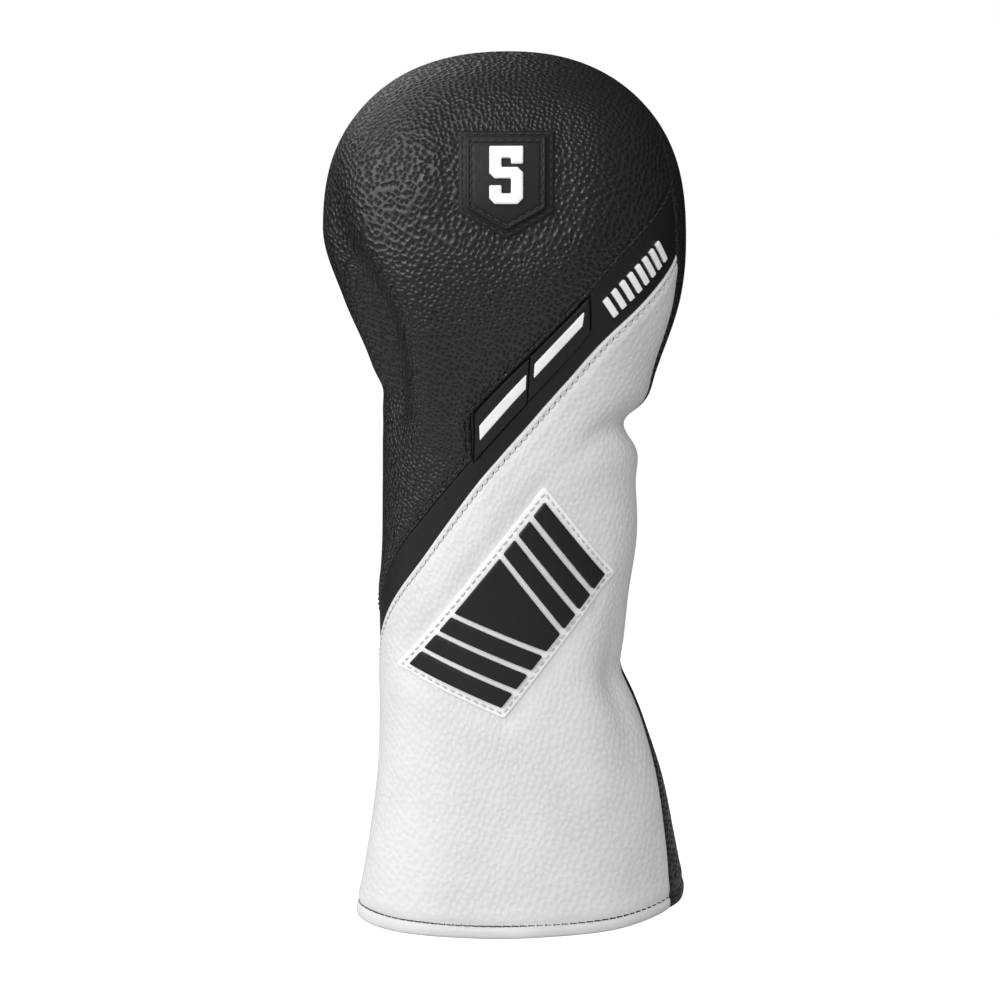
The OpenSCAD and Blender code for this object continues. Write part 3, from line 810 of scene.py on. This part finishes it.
def flat_mesh(loops, bevel, step):
    """Points and triangles that fill loops, with rows of points along the bevelled edge."""
    points = [np.vstack(loops)]
    for share in (0.15, 0.45, 1.0):
        for loop in loops:
            left = facing_left(loop)
            inward = left + np.roll(left, 1, axis=0)
            inward = inward / np.maximum(np.linalg.norm(inward, axis=1, keepdims=True), 1e-9)
            moved = loop + inward * bevel * share
            points.append(moved[distance(moved, loops) > 0.93 * bevel * share])
    low, high = points[0].min(axis=0), points[0].max(axis=0)
    across, up = np.meshgrid(np.arange(low[0], high[0], step), np.arange(low[1], high[1], step * 0.87))
    across = across + (np.arange(len(across)) % 2)[:, None] * step / 2
    filling = np.stack([across.ravel(), up.ravel()], axis=1)
    filling = filling[within(filling, loops)]
    points.append(filling[distance(filling, loops) > bevel + 0.5 * step])
    edges = []
    start = 0
    for loop in loops:
        count = len(loop)
        edges += [(start + k, start + (k + 1) % count) for k in range(count)]
        start += count
    flat = [Vector(p) for p in np.vstack(points)]
    made, _, faces, *_ = geometry.delaunay_2d_cdt(flat, edges, [], 0, 1e-5)
    made = np.array([list(p) for p in made])
    faces = np.array([list(f) for f in faces])
    faces = faces[within(made[faces].mean(axis=1), loops)]
    a, b, c = made[faces[:, 0]], made[faces[:, 1]], made[faces[:, 2]]
    area = (b - a)[:, 0] * (c - a)[:, 1] - (b - a)[:, 1] * (c - a)[:, 0]
    faces[area < 0] = faces[area < 0][:, ::-1]
    return made, [tuple(f) for f in faces[np.abs(area) > 1e-7].tolist()]


def plate(place, loops, low, high, bevel=0.3, step=0.8, shape=None):
    """A flat piece with rounded edges, laid on the cover from low to high above its surface."""
    loops = [divided(loop, step * 0.7) for loop in loops]
    points, faces = flat_mesh(loops, bevel, step)
    gap = distance(points, loops)
    top = high - rolled(gap, bevel)
    if shape is not None:
        top = top + shape(gap, points)
    return shell(place(points, top), place(points, np.full(len(points), low)), faces)


def joined(solids):
    """Several solids as one set of points and faces."""
    points, faces, start = [], [], 0
    for some, theirs in solids:
        points.append(some)
        faces += [tuple(i + start for i in f) for f in theirs]
        start += len(some)
    return np.vstack(points), faces


def strip_outline(corners):
    """Outline on the strip from corners of angle and rise. Its long sides follow the strip line."""
    made = []
    for (phi_a, rise_a), (phi_b, rise_b) in zip(corners, corners[1:] + corners[:1]):
        count = max(1, math.ceil(abs(phi_b - phi_a) / 3))
        for k in range(count):
            phi = mix(phi_a, phi_b, k / count)
            made.append([STRIP_SCALE * phi, float(line_z(phi)) + mix(rise_a, rise_b, k / count)])
    return np.array(made)


FRAME_LOW = 7.9
FRAME_HIGH = 22.2
BAR_HEIGHT = 4.7
PROUD = 0.5
# Angles of each window frame's corners, from the lower left round, and the cut of its lower right corner.
FRAMES = {
    "window_bar_lower": (-16.7, 10.75, 10.75, -15.3, 0),
    "window_bar_upper": (11.25, 34.7, 32.5, 11.25, 1.9),
}
BOTH_FRAMES = (-16.7, 34.7, 32.5, -15.3, 1.9)
# Left and right end of each window's bar, and how much higher the bar lies.
BARS = {
    "window_bar_lower": (-13.4, 9.9, 0),
    "window_bar_upper": (13.3, 31.4, 0.65),
}


def frame_corners(low_left, low_right, high_right, high_left, cut, grow=0.0):
    aside = grow / STRIP_SCALE
    corners = [
        (low_left - aside, FRAME_LOW - grow), (low_right - cut + aside, FRAME_LOW - grow),
        (low_right + aside, FRAME_LOW + cut * 0.75 - grow), (high_right + aside, FRAME_HIGH + grow),
        (high_left - aside, FRAME_HIGH + grow),
    ]
    if not cut:
        corners.pop(2)
    return corners


def bar_corners(left, right, raised, margin=0.0, margin_deg=0.0):
    half = BAR_HEIGHT / 2 + margin
    left, right = left - margin_deg, right + margin_deg
    left_middle, right_middle = (14.6 + 0.035 * (end + 16) + raised for end in (left, right))
    return [
        (left, left_middle - half), (right, right_middle - half),
        (right, right_middle + half), (left, left_middle + half),
    ]


GROOVE = 0.45


def strip_rubber():
    """The moulded strip: a band that stands up between the leathers, over a flange under both."""
    c = front_columns(1.6)
    low = column_v(c, low_h, -STRIP_TUCK)
    high = column_v(c, wide_h, STRIP_TUCK)
    v = np.vstack([mix(low, high, t) for t in np.linspace(0, 1, 30)])
    phi = column_phi(v, c)
    rise, per_degree, slant = strip_frame(phi, v)
    past_jog = np.minimum((wide_h(phi) - rise) * slant, (phi - JOG_PHI) * per_degree)
    inside = np.maximum((narrow_h(phi) - rise) * slant, past_jog)
    outer, inner = cover(phi, v, -LEATHER - 0.05), cover(phi, v, -LEATHER - FLANGE)
    flange = shell(outer, inner, grid_faces(*v.shape, inside[:-1, :-1] > -2.4))
    c = front_columns(1.0)
    bottom, narrow, wide = column_v(c, low_h), column_v(c, narrow_h), column_v(c, wide_h)
    edge_c = np.concatenate([c, c[::-1]])
    edge_v = np.concatenate([bottom, np.where(c < 1, narrow, wide)[::-1]])
    outline = np.stack([STRIP_SCALE * column_phi(edge_v, edge_c), height_at(edge_v)], axis=1)
    jog = len(c) + int((c[::-1] >= 1).sum())
    corner = [STRIP_SCALE * JOG_PHI, float(height_at(narrow[c >= 1][0]))]
    outline = np.insert(outline, jog, corner, axis=0)
    hole = strip_outline(frame_corners(*BOTH_FRAMES, GROOVE))[::-1]
    band = plate(on_strip, [outline, hole], -LEATHER - 0.05, -STRIP_SINK, 0.4, 0.9)
    piece("strip_rubber", *joined([flange, band]), "black_rubber", "diagonal_strip")


def window_pieces():
    rails = []
    for name, angles in FRAMES.items():
        hole = strip_outline(bar_corners(*BARS[name], 0.25, 0.2))[::-1]
        loops = [rounded(strip_outline(frame_corners(*angles)), 0.3), rounded(hole, 0.3)]
        rails.append(plate(on_strip, loops, -LEATHER, PROUD, 0.35, 0.7))
        loop = rounded(strip_outline(bar_corners(*BARS[name])), 0.25)
        bar = plate(on_strip, [loop], -LEATHER, PROUD + 0.1, 0.25, 0.7)
        piece(name + "_rubber", *bar, "white_rubber", name)
    piece("window_frame_rubber", *joined(rails), "black_rubber", "window_frame")


TICK_FIRST = 42.8
TICK_STEP = 2.6
TICK_WIDTH = 1.5
TICK_LEAN = -5
TICK_COUNT = 8
# Feet and tops of the ticks over the strip line, at the first and at the last tick.
TICK_FEET = (4.4, 4)
TICK_TOPS = (15.1, 14.1)


def ticks():
    made = []
    for i in range(TICK_COUNT):
        phi = TICK_FIRST + i * TICK_STEP
        t = i / (TICK_COUNT - 1)
        foot, top = mix(*TICK_FEET, t), mix(*TICK_TOPS, t)
        far, leant = phi + TICK_WIDTH, phi + TICK_LEAN
        corners = [(phi, foot), (far, foot), (far + TICK_LEAN, top), (leant, top)]
        loop = rounded(strip_outline(corners), 0.25, 3)
        made.append(plate(on_strip, [loop], -STRIP_SINK, PROUD, 0.25, 0.7))
    piece("strip_ticks_rubber", *joined(made), "white_rubber", "strip_ticks")


PATCH_T = 0.8
BADGE_T = 1.4
NUMERAL_T = 2.6
NUMERAL_FOOT = 233.6
NUMERAL_TOP = 250.2
# Block numeral: corners as shares of its width and height.
FIVE = [
    (0.0, 1.0), (0.0, 0.54), (0.16, 0.45), (0.64, 0.45), (0.64, 0.19), (0.36, 0.19), (0.36, 0.33),
    (0.0, 0.33), (0.0, 0.1), (0.16, 0.0), (0.84, 0.0), (1.0, 0.1), (1.0, 0.55), (0.84, 0.645),
    (0.36, 0.645), (0.36, 0.8), (0.64, 0.8), (0.64, 0.7), (1.0, 0.7), (1.0, 1.0),
]


def badge():
    """Stitched patch, badge with a raised lip, and the numeral on it."""
    patch = plate(on_front, [rounded(PATCH_OUTLINE, 0.8)], -0.2, PATCH_T, 0.5, 0.8,
                  lambda gap, _: -0.3 * hill(gap - 1.0, 0.35))
    piece("number_patch_leather", *patch, "black_rubber", "number_patch")
    lip = plate(on_front, [rounded(BADGE_OUTLINE, 0.6)], PATCH_T - 0.3, PATCH_T + BADGE_T - 0.2, 0.4, 0.55,
                lambda gap, _: 0.3 * hill(gap - 0.55, 0.35) - 0.35 * hill(gap - 1.35, 0.35))
    piece("number_badge_rubber", *lip, "black_rubber", "number_badge")
    low, high = node_box("badge_numeral")
    width = high[0] - low[0]
    corner = np.array([BADGE_X - width / 2, NUMERAL_FOOT])
    outline = rounded(corner + np.array(FIVE) * (width, NUMERAL_TOP - NUMERAL_FOOT), 0.45, 4)
    five = plate(on_front, [outline], PATCH_T + BADGE_T - 0.4, PATCH_T + NUMERAL_T, 0.6, 0.5)
    piece("badge_numeral_rubber", *five, "white_rubber", "badge_numeral")


EMBLEM_T = 0.8
MARK_T = 1.6


def emblem():
    backing = plate(on_front, [rounded(EMBLEM_OUTLINE, 1.2)], -0.2, EMBLEM_T, 0.5, 1.0,
                    lambda gap, _: -0.25 * hill(gap - 1.3, 0.4))
    piece("emblem_backing_rubber", *backing, "white_rubber", "emblem_backing")
    half = EMBLEM_WIDTH / 2 - MARK_BORDER
    end = EMBLEM_SHORT / 2 + EMBLEM_LEAN * MARK_BORDER - MARK_BORDER * math.hypot(1, EMBLEM_LEAN)
    run = (end - MIDDLE_HALF) / WING_BARS - MARK_GAP
    lean = EMBLEM_LEAN * 2 * half
    low, high = MIDDLE_HALF, MIDDLE_HALF + lean
    bars = [[(-low, -half), (low, -half), (high, half), (-high, half)]]
    for i in range(WING_BARS):
        low = MIDDLE_HALF + MARK_GAP + i * (run + MARK_GAP)
        right = [(low, -half), (low + run, -half), (low + run + lean, half), (low + lean, half)]
        bars += [right, [(-along, across) for along, across in reversed(right)]]
    made = []
    for bar in bars:
        loop = rounded(emblem_at(bar), 0.5, 4)
        made.append(plate(on_front, [loop], EMBLEM_T - 0.3, EMBLEM_T + MARK_T, 0.45, 0.8))
    piece("emblem_bars_rubber", *joined(made), "black_rubber", "emblem_bars")


# ---- Stitching ----

RING = 8
STATIONS = np.array([0.0, 0.03, 0.12, 0.28, 0.5, 0.72, 0.88, 0.97, 1.0])


def stitches(name, phi, v, out, slot, node, thick=STITCH_RADIUS, length=STITCH_LENGTH):
    """A row of bent, twisted stitches along places on the cover, standing on a face at out."""
    along = stitch_count(phi, v)
    solids = []
    twist = []
    ring = np.arange(RING) * 2 * np.pi / RING
    for k in range(round(along[-1])):
        at = k + 0.5 + (STATIONS - 0.5) * length / STITCH_PITCH
        station_phi = np.interp(at, along, phi)
        station_v = np.interp(at, along, v)
        bend = np.abs(2 * STATIONS - 1)
        lift = thick * 0.6 - thick * 1.6 * bend**4
        middle = cover(station_phi, station_v, out + lift)
        normal = outward(station_phi, station_v)
        side = np.cross(unit(np.gradient(middle, axis=0)), normal)
        middle = middle + side * ((STATIONS - 0.5) * thick * 0.7)[:, None]
        radius = thick * np.sqrt(np.maximum(0, 1 - bend**6))
        points = [middle[0]]
        for m, n, s, r in zip(middle[1:-1], normal[1:-1], side[1:-1], radius[1:-1]):
            points += [m + r * (0.85 * math.cos(t) * n + math.sin(t) * s) for t in ring]
        points.append(middle[-1])
        solids.append((np.array(points), STITCH_FACES))
        twist.append(np.concatenate([[0], np.repeat(STATIONS[1:-1], RING), [1]]))
    points, faces = joined(solids)
    piece(name, points, faces, slot, node, {"along": np.concatenate(twist)})


def stitch_faces():
    """Faces of one stitch: two end caps and the bands between its rings."""
    rings = len(STATIONS) - 2
    end = 1 + rings * RING
    faces = []
    for k in range(RING):
        n = (k + 1) % RING
        faces.append((0, 1 + n, 1 + k))
        faces.append((end, end - RING + k, end - RING + n))
        for r in range(rings - 1):
            a = 1 + r * RING
            faces.append((a + k, a + n, a + RING + n, a + RING + k))
    return faces


STITCH_FACES = stitch_faces()


def dense(points, step=0.5):
    """A broken line with points close together."""
    points = np.asarray(points, float)
    made = [points[:1]]
    for a, b in zip(points[:-1], points[1:]):
        count = max(1, math.ceil(np.linalg.norm(b - a) / step))
        made.append(np.stack([mix(a, b, (k + 1) / count) for k in range(count)]))
    return np.vstack(made)


def outline_stitches(name, corners, gap, out, slot, node):
    loop = inset(corners, gap)
    path = dense(np.vstack([loop, loop[:1]]))
    v = run_at(path[:, 1])
    stitches(name, phi_at(path[:, 0], v), v, out, slot, node)


def strip_stitches():
    """Rows beside the strip. The upper one turns with the leather's edge at the jog."""
    c, phi, v = skirt_stitch_line()
    stitches("skirt_edge_thread", phi, v, -0.15, "grey_thread", "skirt_edge_stitching")
    turn = 1 - EDGE_STITCH / STRIP_SCALE / 80
    left = np.stack(beside_strip(c[c < turn], narrow_h, EDGE_STITCH), axis=1)
    right = np.stack(beside_strip(c[c > turn], wide_h, EDGE_STITCH), axis=1)
    phi, v = dense(np.vstack([left, right]), 0.4).T
    stitches("crown_edge_thread", phi, v, -0.15, "black_thread", "crown_edge_stitching")


def all_stitching():
    strip_stitches()
    outline_stitches("patch_thread", PATCH_OUTLINE, 1.0, PATCH_T - 0.1, "black_thread", "patch_stitching")
    outline_stitches("badge_thread", BADGE_OUTLINE, 1.35, PATCH_T + BADGE_T - 0.4, "black_thread",
                     "badge_stitching")
    outline_stitches("emblem_thread", EMBLEM_OUTLINE, 1.3, EMBLEM_T - 0.1, "grey_thread", "emblem_stitching")
    for side in ("front", "back"):
        u, phi, v = hem_stitch_line(side == "back")
        stitches(side + "_hem_thread", phi, v, -0.35, "black_thread", side + "_hem_stitching", 0.24, 2.55)
    v = v * 0 + BACK_SEAM - SKIRT_STITCH
    stitches("back_seam_thread", back_phi(v, u), v, -0.15, "black_thread", "back_seam_stitching")


# ---- Materials ----

class Nodes:
    """The nodes of a material or world, with short calls to add and join them."""

    def __init__(self, owner):
        owner.use_nodes = True
        self.tree = owner.node_tree

    def put(self, socket, value):
        if isinstance(value, bpy.types.NodeSocket):
            self.tree.links.new(value, socket)
        else:
            socket.default_value = value

    def node(self, kind, inputs=None, **settings):
        made = self.tree.nodes.new(kind)
        for key, value in settings.items():
            setattr(made, key, value)
        for key, value in (inputs or {}).items():
            self.put(made.inputs[key], value)
        return made

    def math(self, operation, a, b=0.0):
        return self.node("ShaderNodeMath", {0: a, 1: b}, operation=operation).outputs[0]

    def plus(self, a, b):
        return self.math("ADD", a, b)

    def less(self, a, b):
        return self.math("SUBTRACT", a, b)

    def times(self, a, b):
        return self.math("MULTIPLY", a, b)

    def vector(self, operation, a, b, output=0):
        return self.node("ShaderNodeVectorMath", {0: a, 1: b}, operation=operation).outputs[output]

    def between(self, value, low, high, start=0.0, end=1.0):
        """Eased map of a value from low..high to start..end."""
        names = ("Value", "From Min", "From Max", "To Min", "To Max")
        inputs = dict(zip(names, (value, low, high, start, end)))
        return self.node("ShaderNodeMapRange", inputs, interpolation_type="SMOOTHSTEP").outputs[0]


class Graph(Nodes):
    """A material. Its place is the place on the object, in drawn millimetres."""

    def __init__(self, name, **values):
        self.material = bpy.data.materials.new(name)
        super().__init__(self.material)
        self.shader = self.tree.nodes["Principled BSDF"]
        self.shade(**values)
        place = self.node("ShaderNodeTexCoord").outputs["Object"]
        self.place = self.vector("MULTIPLY", place, (1 / UNIT,) * 3)

    def shade(self, **values):
        """Set or join inputs of the shader, with _ for a space in their names."""
        for key, value in values.items():
            self.put(self.shader.inputs[key.replace("_", " ")], value)

    def noise(self, scale, detail=2.0, place=None, output="Fac"):
        inputs = {"Vector": place or self.place, "Scale": scale, "Detail": detail}
        return self.node("ShaderNodeTexNoise", inputs).outputs[output]

    def shift(self, amount, scale, place=None):
        """The place moved about by soft noise."""
        moved = self.vector("SUBTRACT", self.noise(scale, 1.0, output="Color"), (0.5,) * 3)
        return self.vector("ADD", place or self.place, self.vector("MULTIPLY", moved, (amount,) * 3))

    def colour(self, share, a, b):
        made = self.node("ShaderNodeMix", data_type="RGBA")
        self.put(made.inputs[0], share)
        self.put(made.inputs[6], a)
        self.put(made.inputs[7], b)
        return made.outputs[2]

    def attribute(self, name, output="Fac"):
        return self.node("ShaderNodeAttribute", attribute_name=name).outputs[output]

    def bump(self, height, depth, before=None):
        """Bump of a height from 0 to 1 over a depth in drawn millimetres."""
        inputs = {"Height": height, "Distance": depth * UNIT, "Strength": 1.0}
        if before is not None:
            inputs["Normal"] = before
        return self.node("ShaderNodeBump", inputs).outputs["Normal"]


def grey(value, tint=(1.0, 1.0, 1.0)):
    return (value * tint[0], value * tint[1], value * tint[2], 1.0)


def grain_of(g, place, scale):
    """Grain of leather over a flat place: 0 in small round pits, 1 on the face between them."""
    inputs = {"Vector": g.vector("MULTIPLY", place, scale), "Scale": 1.0, "Randomness": 0.62}
    far = g.node("ShaderNodeTexVoronoi", inputs, voronoi_dimensions="2D")
    return g.between(far.outputs["Distance"], 0.02, 0.66)


def leather_material(name, face, pit_shade, edge_shade, gloss, shine, depth, grains, tint):
    """Pebbled leather: a face with round pits all over it, needle holes and rolled cut edges, with shade
    painted darker into the pits, the holes and the edges.

    The first three greys are the face, the painted shade in the pits and the painted shade at the cut edges.
    gloss is the specular level, shine is the face's roughness, depth is the pits' depth, and grains is pits
    for a millimetre each way.
    """
    g = Graph(name, IOR=1.5, Specular_IOR_Level=gloss)
    hides = [g.attribute(field, "Vector") for field in ("side_hide", "dome_hide")]
    over_dome = g.node("ShaderNodeSeparateXYZ", {0: hides[0]}).outputs["Z"]
    over_dome = g.between(g.plus(over_dome, g.noise(0.3, 2.0)), 0.9, 1.1)
    side, top = (grain_of(g, g.shift(1.8, 0.22, hide), grains) for hide in hides)
    grain = g.plus(g.times(top, over_dome), g.times(side, g.less(1.0, over_dome)))
    flat = g.less(1.0, g.times(g.attribute("smooth_band"), 0.75))
    relief = g.times(grain, flat)
    patchy = g.between(g.noise(0.045, 3.0), 0.3, 0.7)
    face_colour = g.colour(patchy, grey(face * 0.9, tint), grey(face, tint))
    # Painted shade: the colour falls from the face's grey to a darker grey down in the grain's pits.
    shown = g.less(1.0, g.times(g.less(1.0, grain), flat))
    colour = g.colour(g.between(shown, 0.0, 0.7), grey(pit_shade, tint), face_colour)
    # Painted shade: the colour darkens towards the rolled cut edges.
    colour = g.colour(g.times(g.attribute("edge"), 0.4), colour, grey(edge_shade, tint))
    # Needle holes beside the stitch rows: their near-black colour is painted shade in the holes.
    between = g.times(g.math("PINGPONG", g.attribute("along"), 0.5), STITCH_PITCH)
    aside = g.math("ABSOLUTE", g.attribute("line"))
    from_hole = g.math("SQRT", g.plus(g.math("POWER", between, 2.0), g.math("POWER", aside, 2.0)))
    hole = g.between(from_hole, 0.12, 0.42, 0.0, 1.0)
    colour = g.colour(hole, grey(pit_shade * 0.12, tint), colour)
    rough = g.plus(g.between(grain, 0.0, 0.55, 0.85, shine),
                   g.between(g.noise(0.35, 3.0), 0.3, 0.7, -0.04, 0.06))
    grained = g.bump(relief, depth, g.bump(g.noise(6.0, 3.0), 0.015))
    g.shade(Base_Color=colour, Roughness=rough, Normal=g.bump(hole, 0.3, grained))
    return g.material


def rubber_material(name, face, shine, tint):
    """Matt moulded rubber with a fine sandblasted face."""
    g = Graph(name, IOR=1.47)
    cloud = g.between(g.noise(0.12, 3.0), 0.3, 0.7)
    colour = g.colour(cloud, grey(face * 0.9, tint), grey(face, tint))
    rough = g.between(g.noise(0.8, 2.0), 0.3, 0.7, shine, shine + 0.1)
    g.shade(Base_Color=colour, Roughness=rough, Normal=g.bump(g.noise(7.0, 2.0), 0.02))
    return g.material


def thread_material(name, face, dark, tint):
    """Twisted thread: plies wind along each stitch."""
    g = Graph(name, Roughness=0.6)
    ply = g.between(g.math("SINE", g.times(g.attribute("along"), 2 * math.pi * 5)), -1.0, 1.0)
    colour = g.colour(ply, grey(dark, tint), grey(face, tint))
    g.shade(Base_Color=colour, Normal=g.bump(g.plus(ply, g.noise(9.0)), 0.06))
    return g.material


def plush_material():
    g = Graph("plush lining", Roughness=0.95, Sheen_Weight=0.4)
    fibre = g.noise(1.6, 5.0, g.shift(1.2, 0.5))
    colour = g.colour(g.between(fibre, 0.35, 0.65), grey(0.008), grey(0.05))
    g.shade(Base_Color=colour, Normal=g.bump(fibre, 0.5))
    return g.material


def foam_material():
    g = Graph("open foam", Roughness=0.9)
    inputs = {"Vector": g.place, "Scale": 1.6, "Randomness": 1.0}
    walls = g.node("ShaderNodeTexVoronoi", inputs, feature="DISTANCE_TO_EDGE").outputs["Distance"]
    pore = g.between(walls, 0.0, 0.25)
    colour = g.colour(pore, grey(0.3, (1, 0.95, 0.8)), grey(0.62, (1, 0.97, 0.86)))
    g.shade(Base_Color=colour, Normal=g.bump(pore, 0.25))
    return g.material


def elastic_material():
    g = Graph("woven elastic", Roughness=0.75)
    inputs = {"Vector": g.place, "Scale": 0.42, "Distortion": 0.4}
    wave = g.node("ShaderNodeTexWave", inputs, bands_direction="Z")
    weave = g.times(wave.outputs["Fac"], g.between(g.noise(2.5, 2.0), 0.2, 0.8, 0.6, 1.0))
    g.shade(Base_Color=g.colour(weave, grey(0.012), grey(0.05)), Normal=g.bump(weave, 0.15))
    return g.material


def make_materials():
    cool = (0.94, 0.98, 1.06)
    return {
        "black_leather": leather_material("black leather", 0.009, 0.0004, 0.007, 0.78, 0.37, 0.33,
                                          (0.54, 0.56, 1.0), cool),
        "white_leather": leather_material("white leather", 0.72, 0.69, 0.7, 0.4, 0.5, 0.14,
                                          (0.4, 0.44, 1.0), (1, 0.998, 0.994)),
        "black_rubber": rubber_material("black rubber", 0.010, 0.48, (0.97, 0.98, 1.04)),
        "white_rubber": rubber_material("white rubber", 0.93, 0.42, (1, 1, 1)),
        "black_thread": thread_material("black thread", 0.05, 0.01, (1, 1, 1)),
        "grey_thread": thread_material("grey thread", 0.74, 0.5, (1, 0.995, 0.98)),
        "lining": plush_material(),
        "foam": foam_material(),
        "elastic": elastic_material(),
    }


# ---- Stage, light and camera ----

# Distances on the stage are metres.
CENTRE = Vector((0, 0, DRAWN_HEIGHT / 2 * UNIT))
FLOOR_RADIUS = 0.32


def floor():
    """A pale round table top under the cover. It glows to the eye only, and throws little light back."""
    turn = [2 * math.pi * k / 96 for k in range(96)]
    rim = [(FLOOR_RADIUS * math.cos(t), FLOOR_RADIUS * math.sin(t), CAD_LOW.z) for t in turn]
    mesh = bpy.data.meshes.new("floor")
    mesh.from_pydata(rim, [], [list(range(len(rim)))])
    g = Graph("pale floor", Roughness=0.8)
    seen = g.node("ShaderNodeLightPath").outputs["Is Camera Ray"]
    glow = g.between(seen, 0.0, 1.0, 0.0, 0.95)
    colour = g.colour(g.noise(0.01, 2.0), grey(0.42), grey(0.46))
    g.shade(Base_Color=colour, Emission_Color=grey(1.0), Emission_Strength=glow)
    mesh.materials.append(g.material)
    add("floor", mesh)


def softbox(name, place, size, power):
    data = bpy.data.lights.new(name, "AREA")
    data.shape = "DISK"
    data.size = size
    data.energy = power
    aim(add(name, data), place, LIT_SPOT)


def room():
    """A room that is white to the eye, lights the cover from the front and shows little in its shine."""
    world = bpy.data.worlds.new("pale room")
    g = Nodes(world)
    way = g.node("ShaderNodeTexCoord").outputs["Generated"]
    facing = g.vector("DOT_PRODUCT", way, ROOM_LIGHT.normalized(), "Value")
    light = g.between(facing, -0.7, 1.0, 0.04, 0.98)
    ray = g.node("ShaderNodeLightPath").outputs
    light = g.times(light, g.between(ray["Is Glossy Ray"], 0.0, 1.0, 1.0, 0.22))
    background = g.tree.nodes["Background"].inputs
    background["Color"].default_value = (1, 1, 1, 1)
    g.put(background["Strength"], g.between(ray["Is Camera Ray"], 0.0, 1.0, light, 1.0))
    bpy.context.scene.world = world
    bpy.context.scene.view_settings.view_transform = "Standard"


LIT_SPOT = (-0.03, 0, 0.2)
ROOM_LIGHT = Vector((-0.06, -0.77, 0.64))


def lights():
    softbox("left softbox", (-1.0, -0.26, 0.66), 1.0, 5.9)
    softbox("front softbox", (-0.5, -1.08, 0.82), 0.6, 5.6)
    softbox("back softbox", (-0.55, 1.0, 0.95), 1.0, 3.0)
    room()


CAMERA_RANGE = 900 * UNIT
CAMERA_ELEVATION = math.radians(12)


def camera():
    """A long lens, a little above the middle of the cover, aimed just below it and to its left."""
    data = bpy.data.cameras.new("camera")
    data.sensor_width = 36
    data.lens = 100.8
    made = add("camera", data)
    back = Vector((0, -math.cos(CAMERA_ELEVATION), math.sin(CAMERA_ELEVATION)))
    up = Vector((0, math.sin(CAMERA_ELEVATION), math.cos(CAMERA_ELEVATION)))
    target = CENTRE - up * 0.005 * CAMERA_RANGE - Vector((0.0018 * CAMERA_RANGE, 0, 0))
    aim(made, CENTRE + back * CAMERA_RANGE, target)
    bpy.context.scene.camera = made


# ---- The whole cover ----

MATERIALS = make_materials()
camera()
lights()
floor()

crown = crown_leather()
skirt = front_skirt_leather()
back_upper, back_skirt = back_leathers()
crown_pad = foam_pad("crown_foam", "crown_padding", back=False)
back_pad = foam_pad("back_foam", "back_padding", back=True)
pocket = lining("pocket_plush", "pocket_lining", LINING_SPLIT, POLE, pole=True)
skirt_plush = lining("skirt_plush", "skirt_lining", 3, LINING_SPLIT, pole=False)
elastic = throat_band()
strip_rubber()
window_pieces()
ticks()
badge()
emblem()
all_stitching()
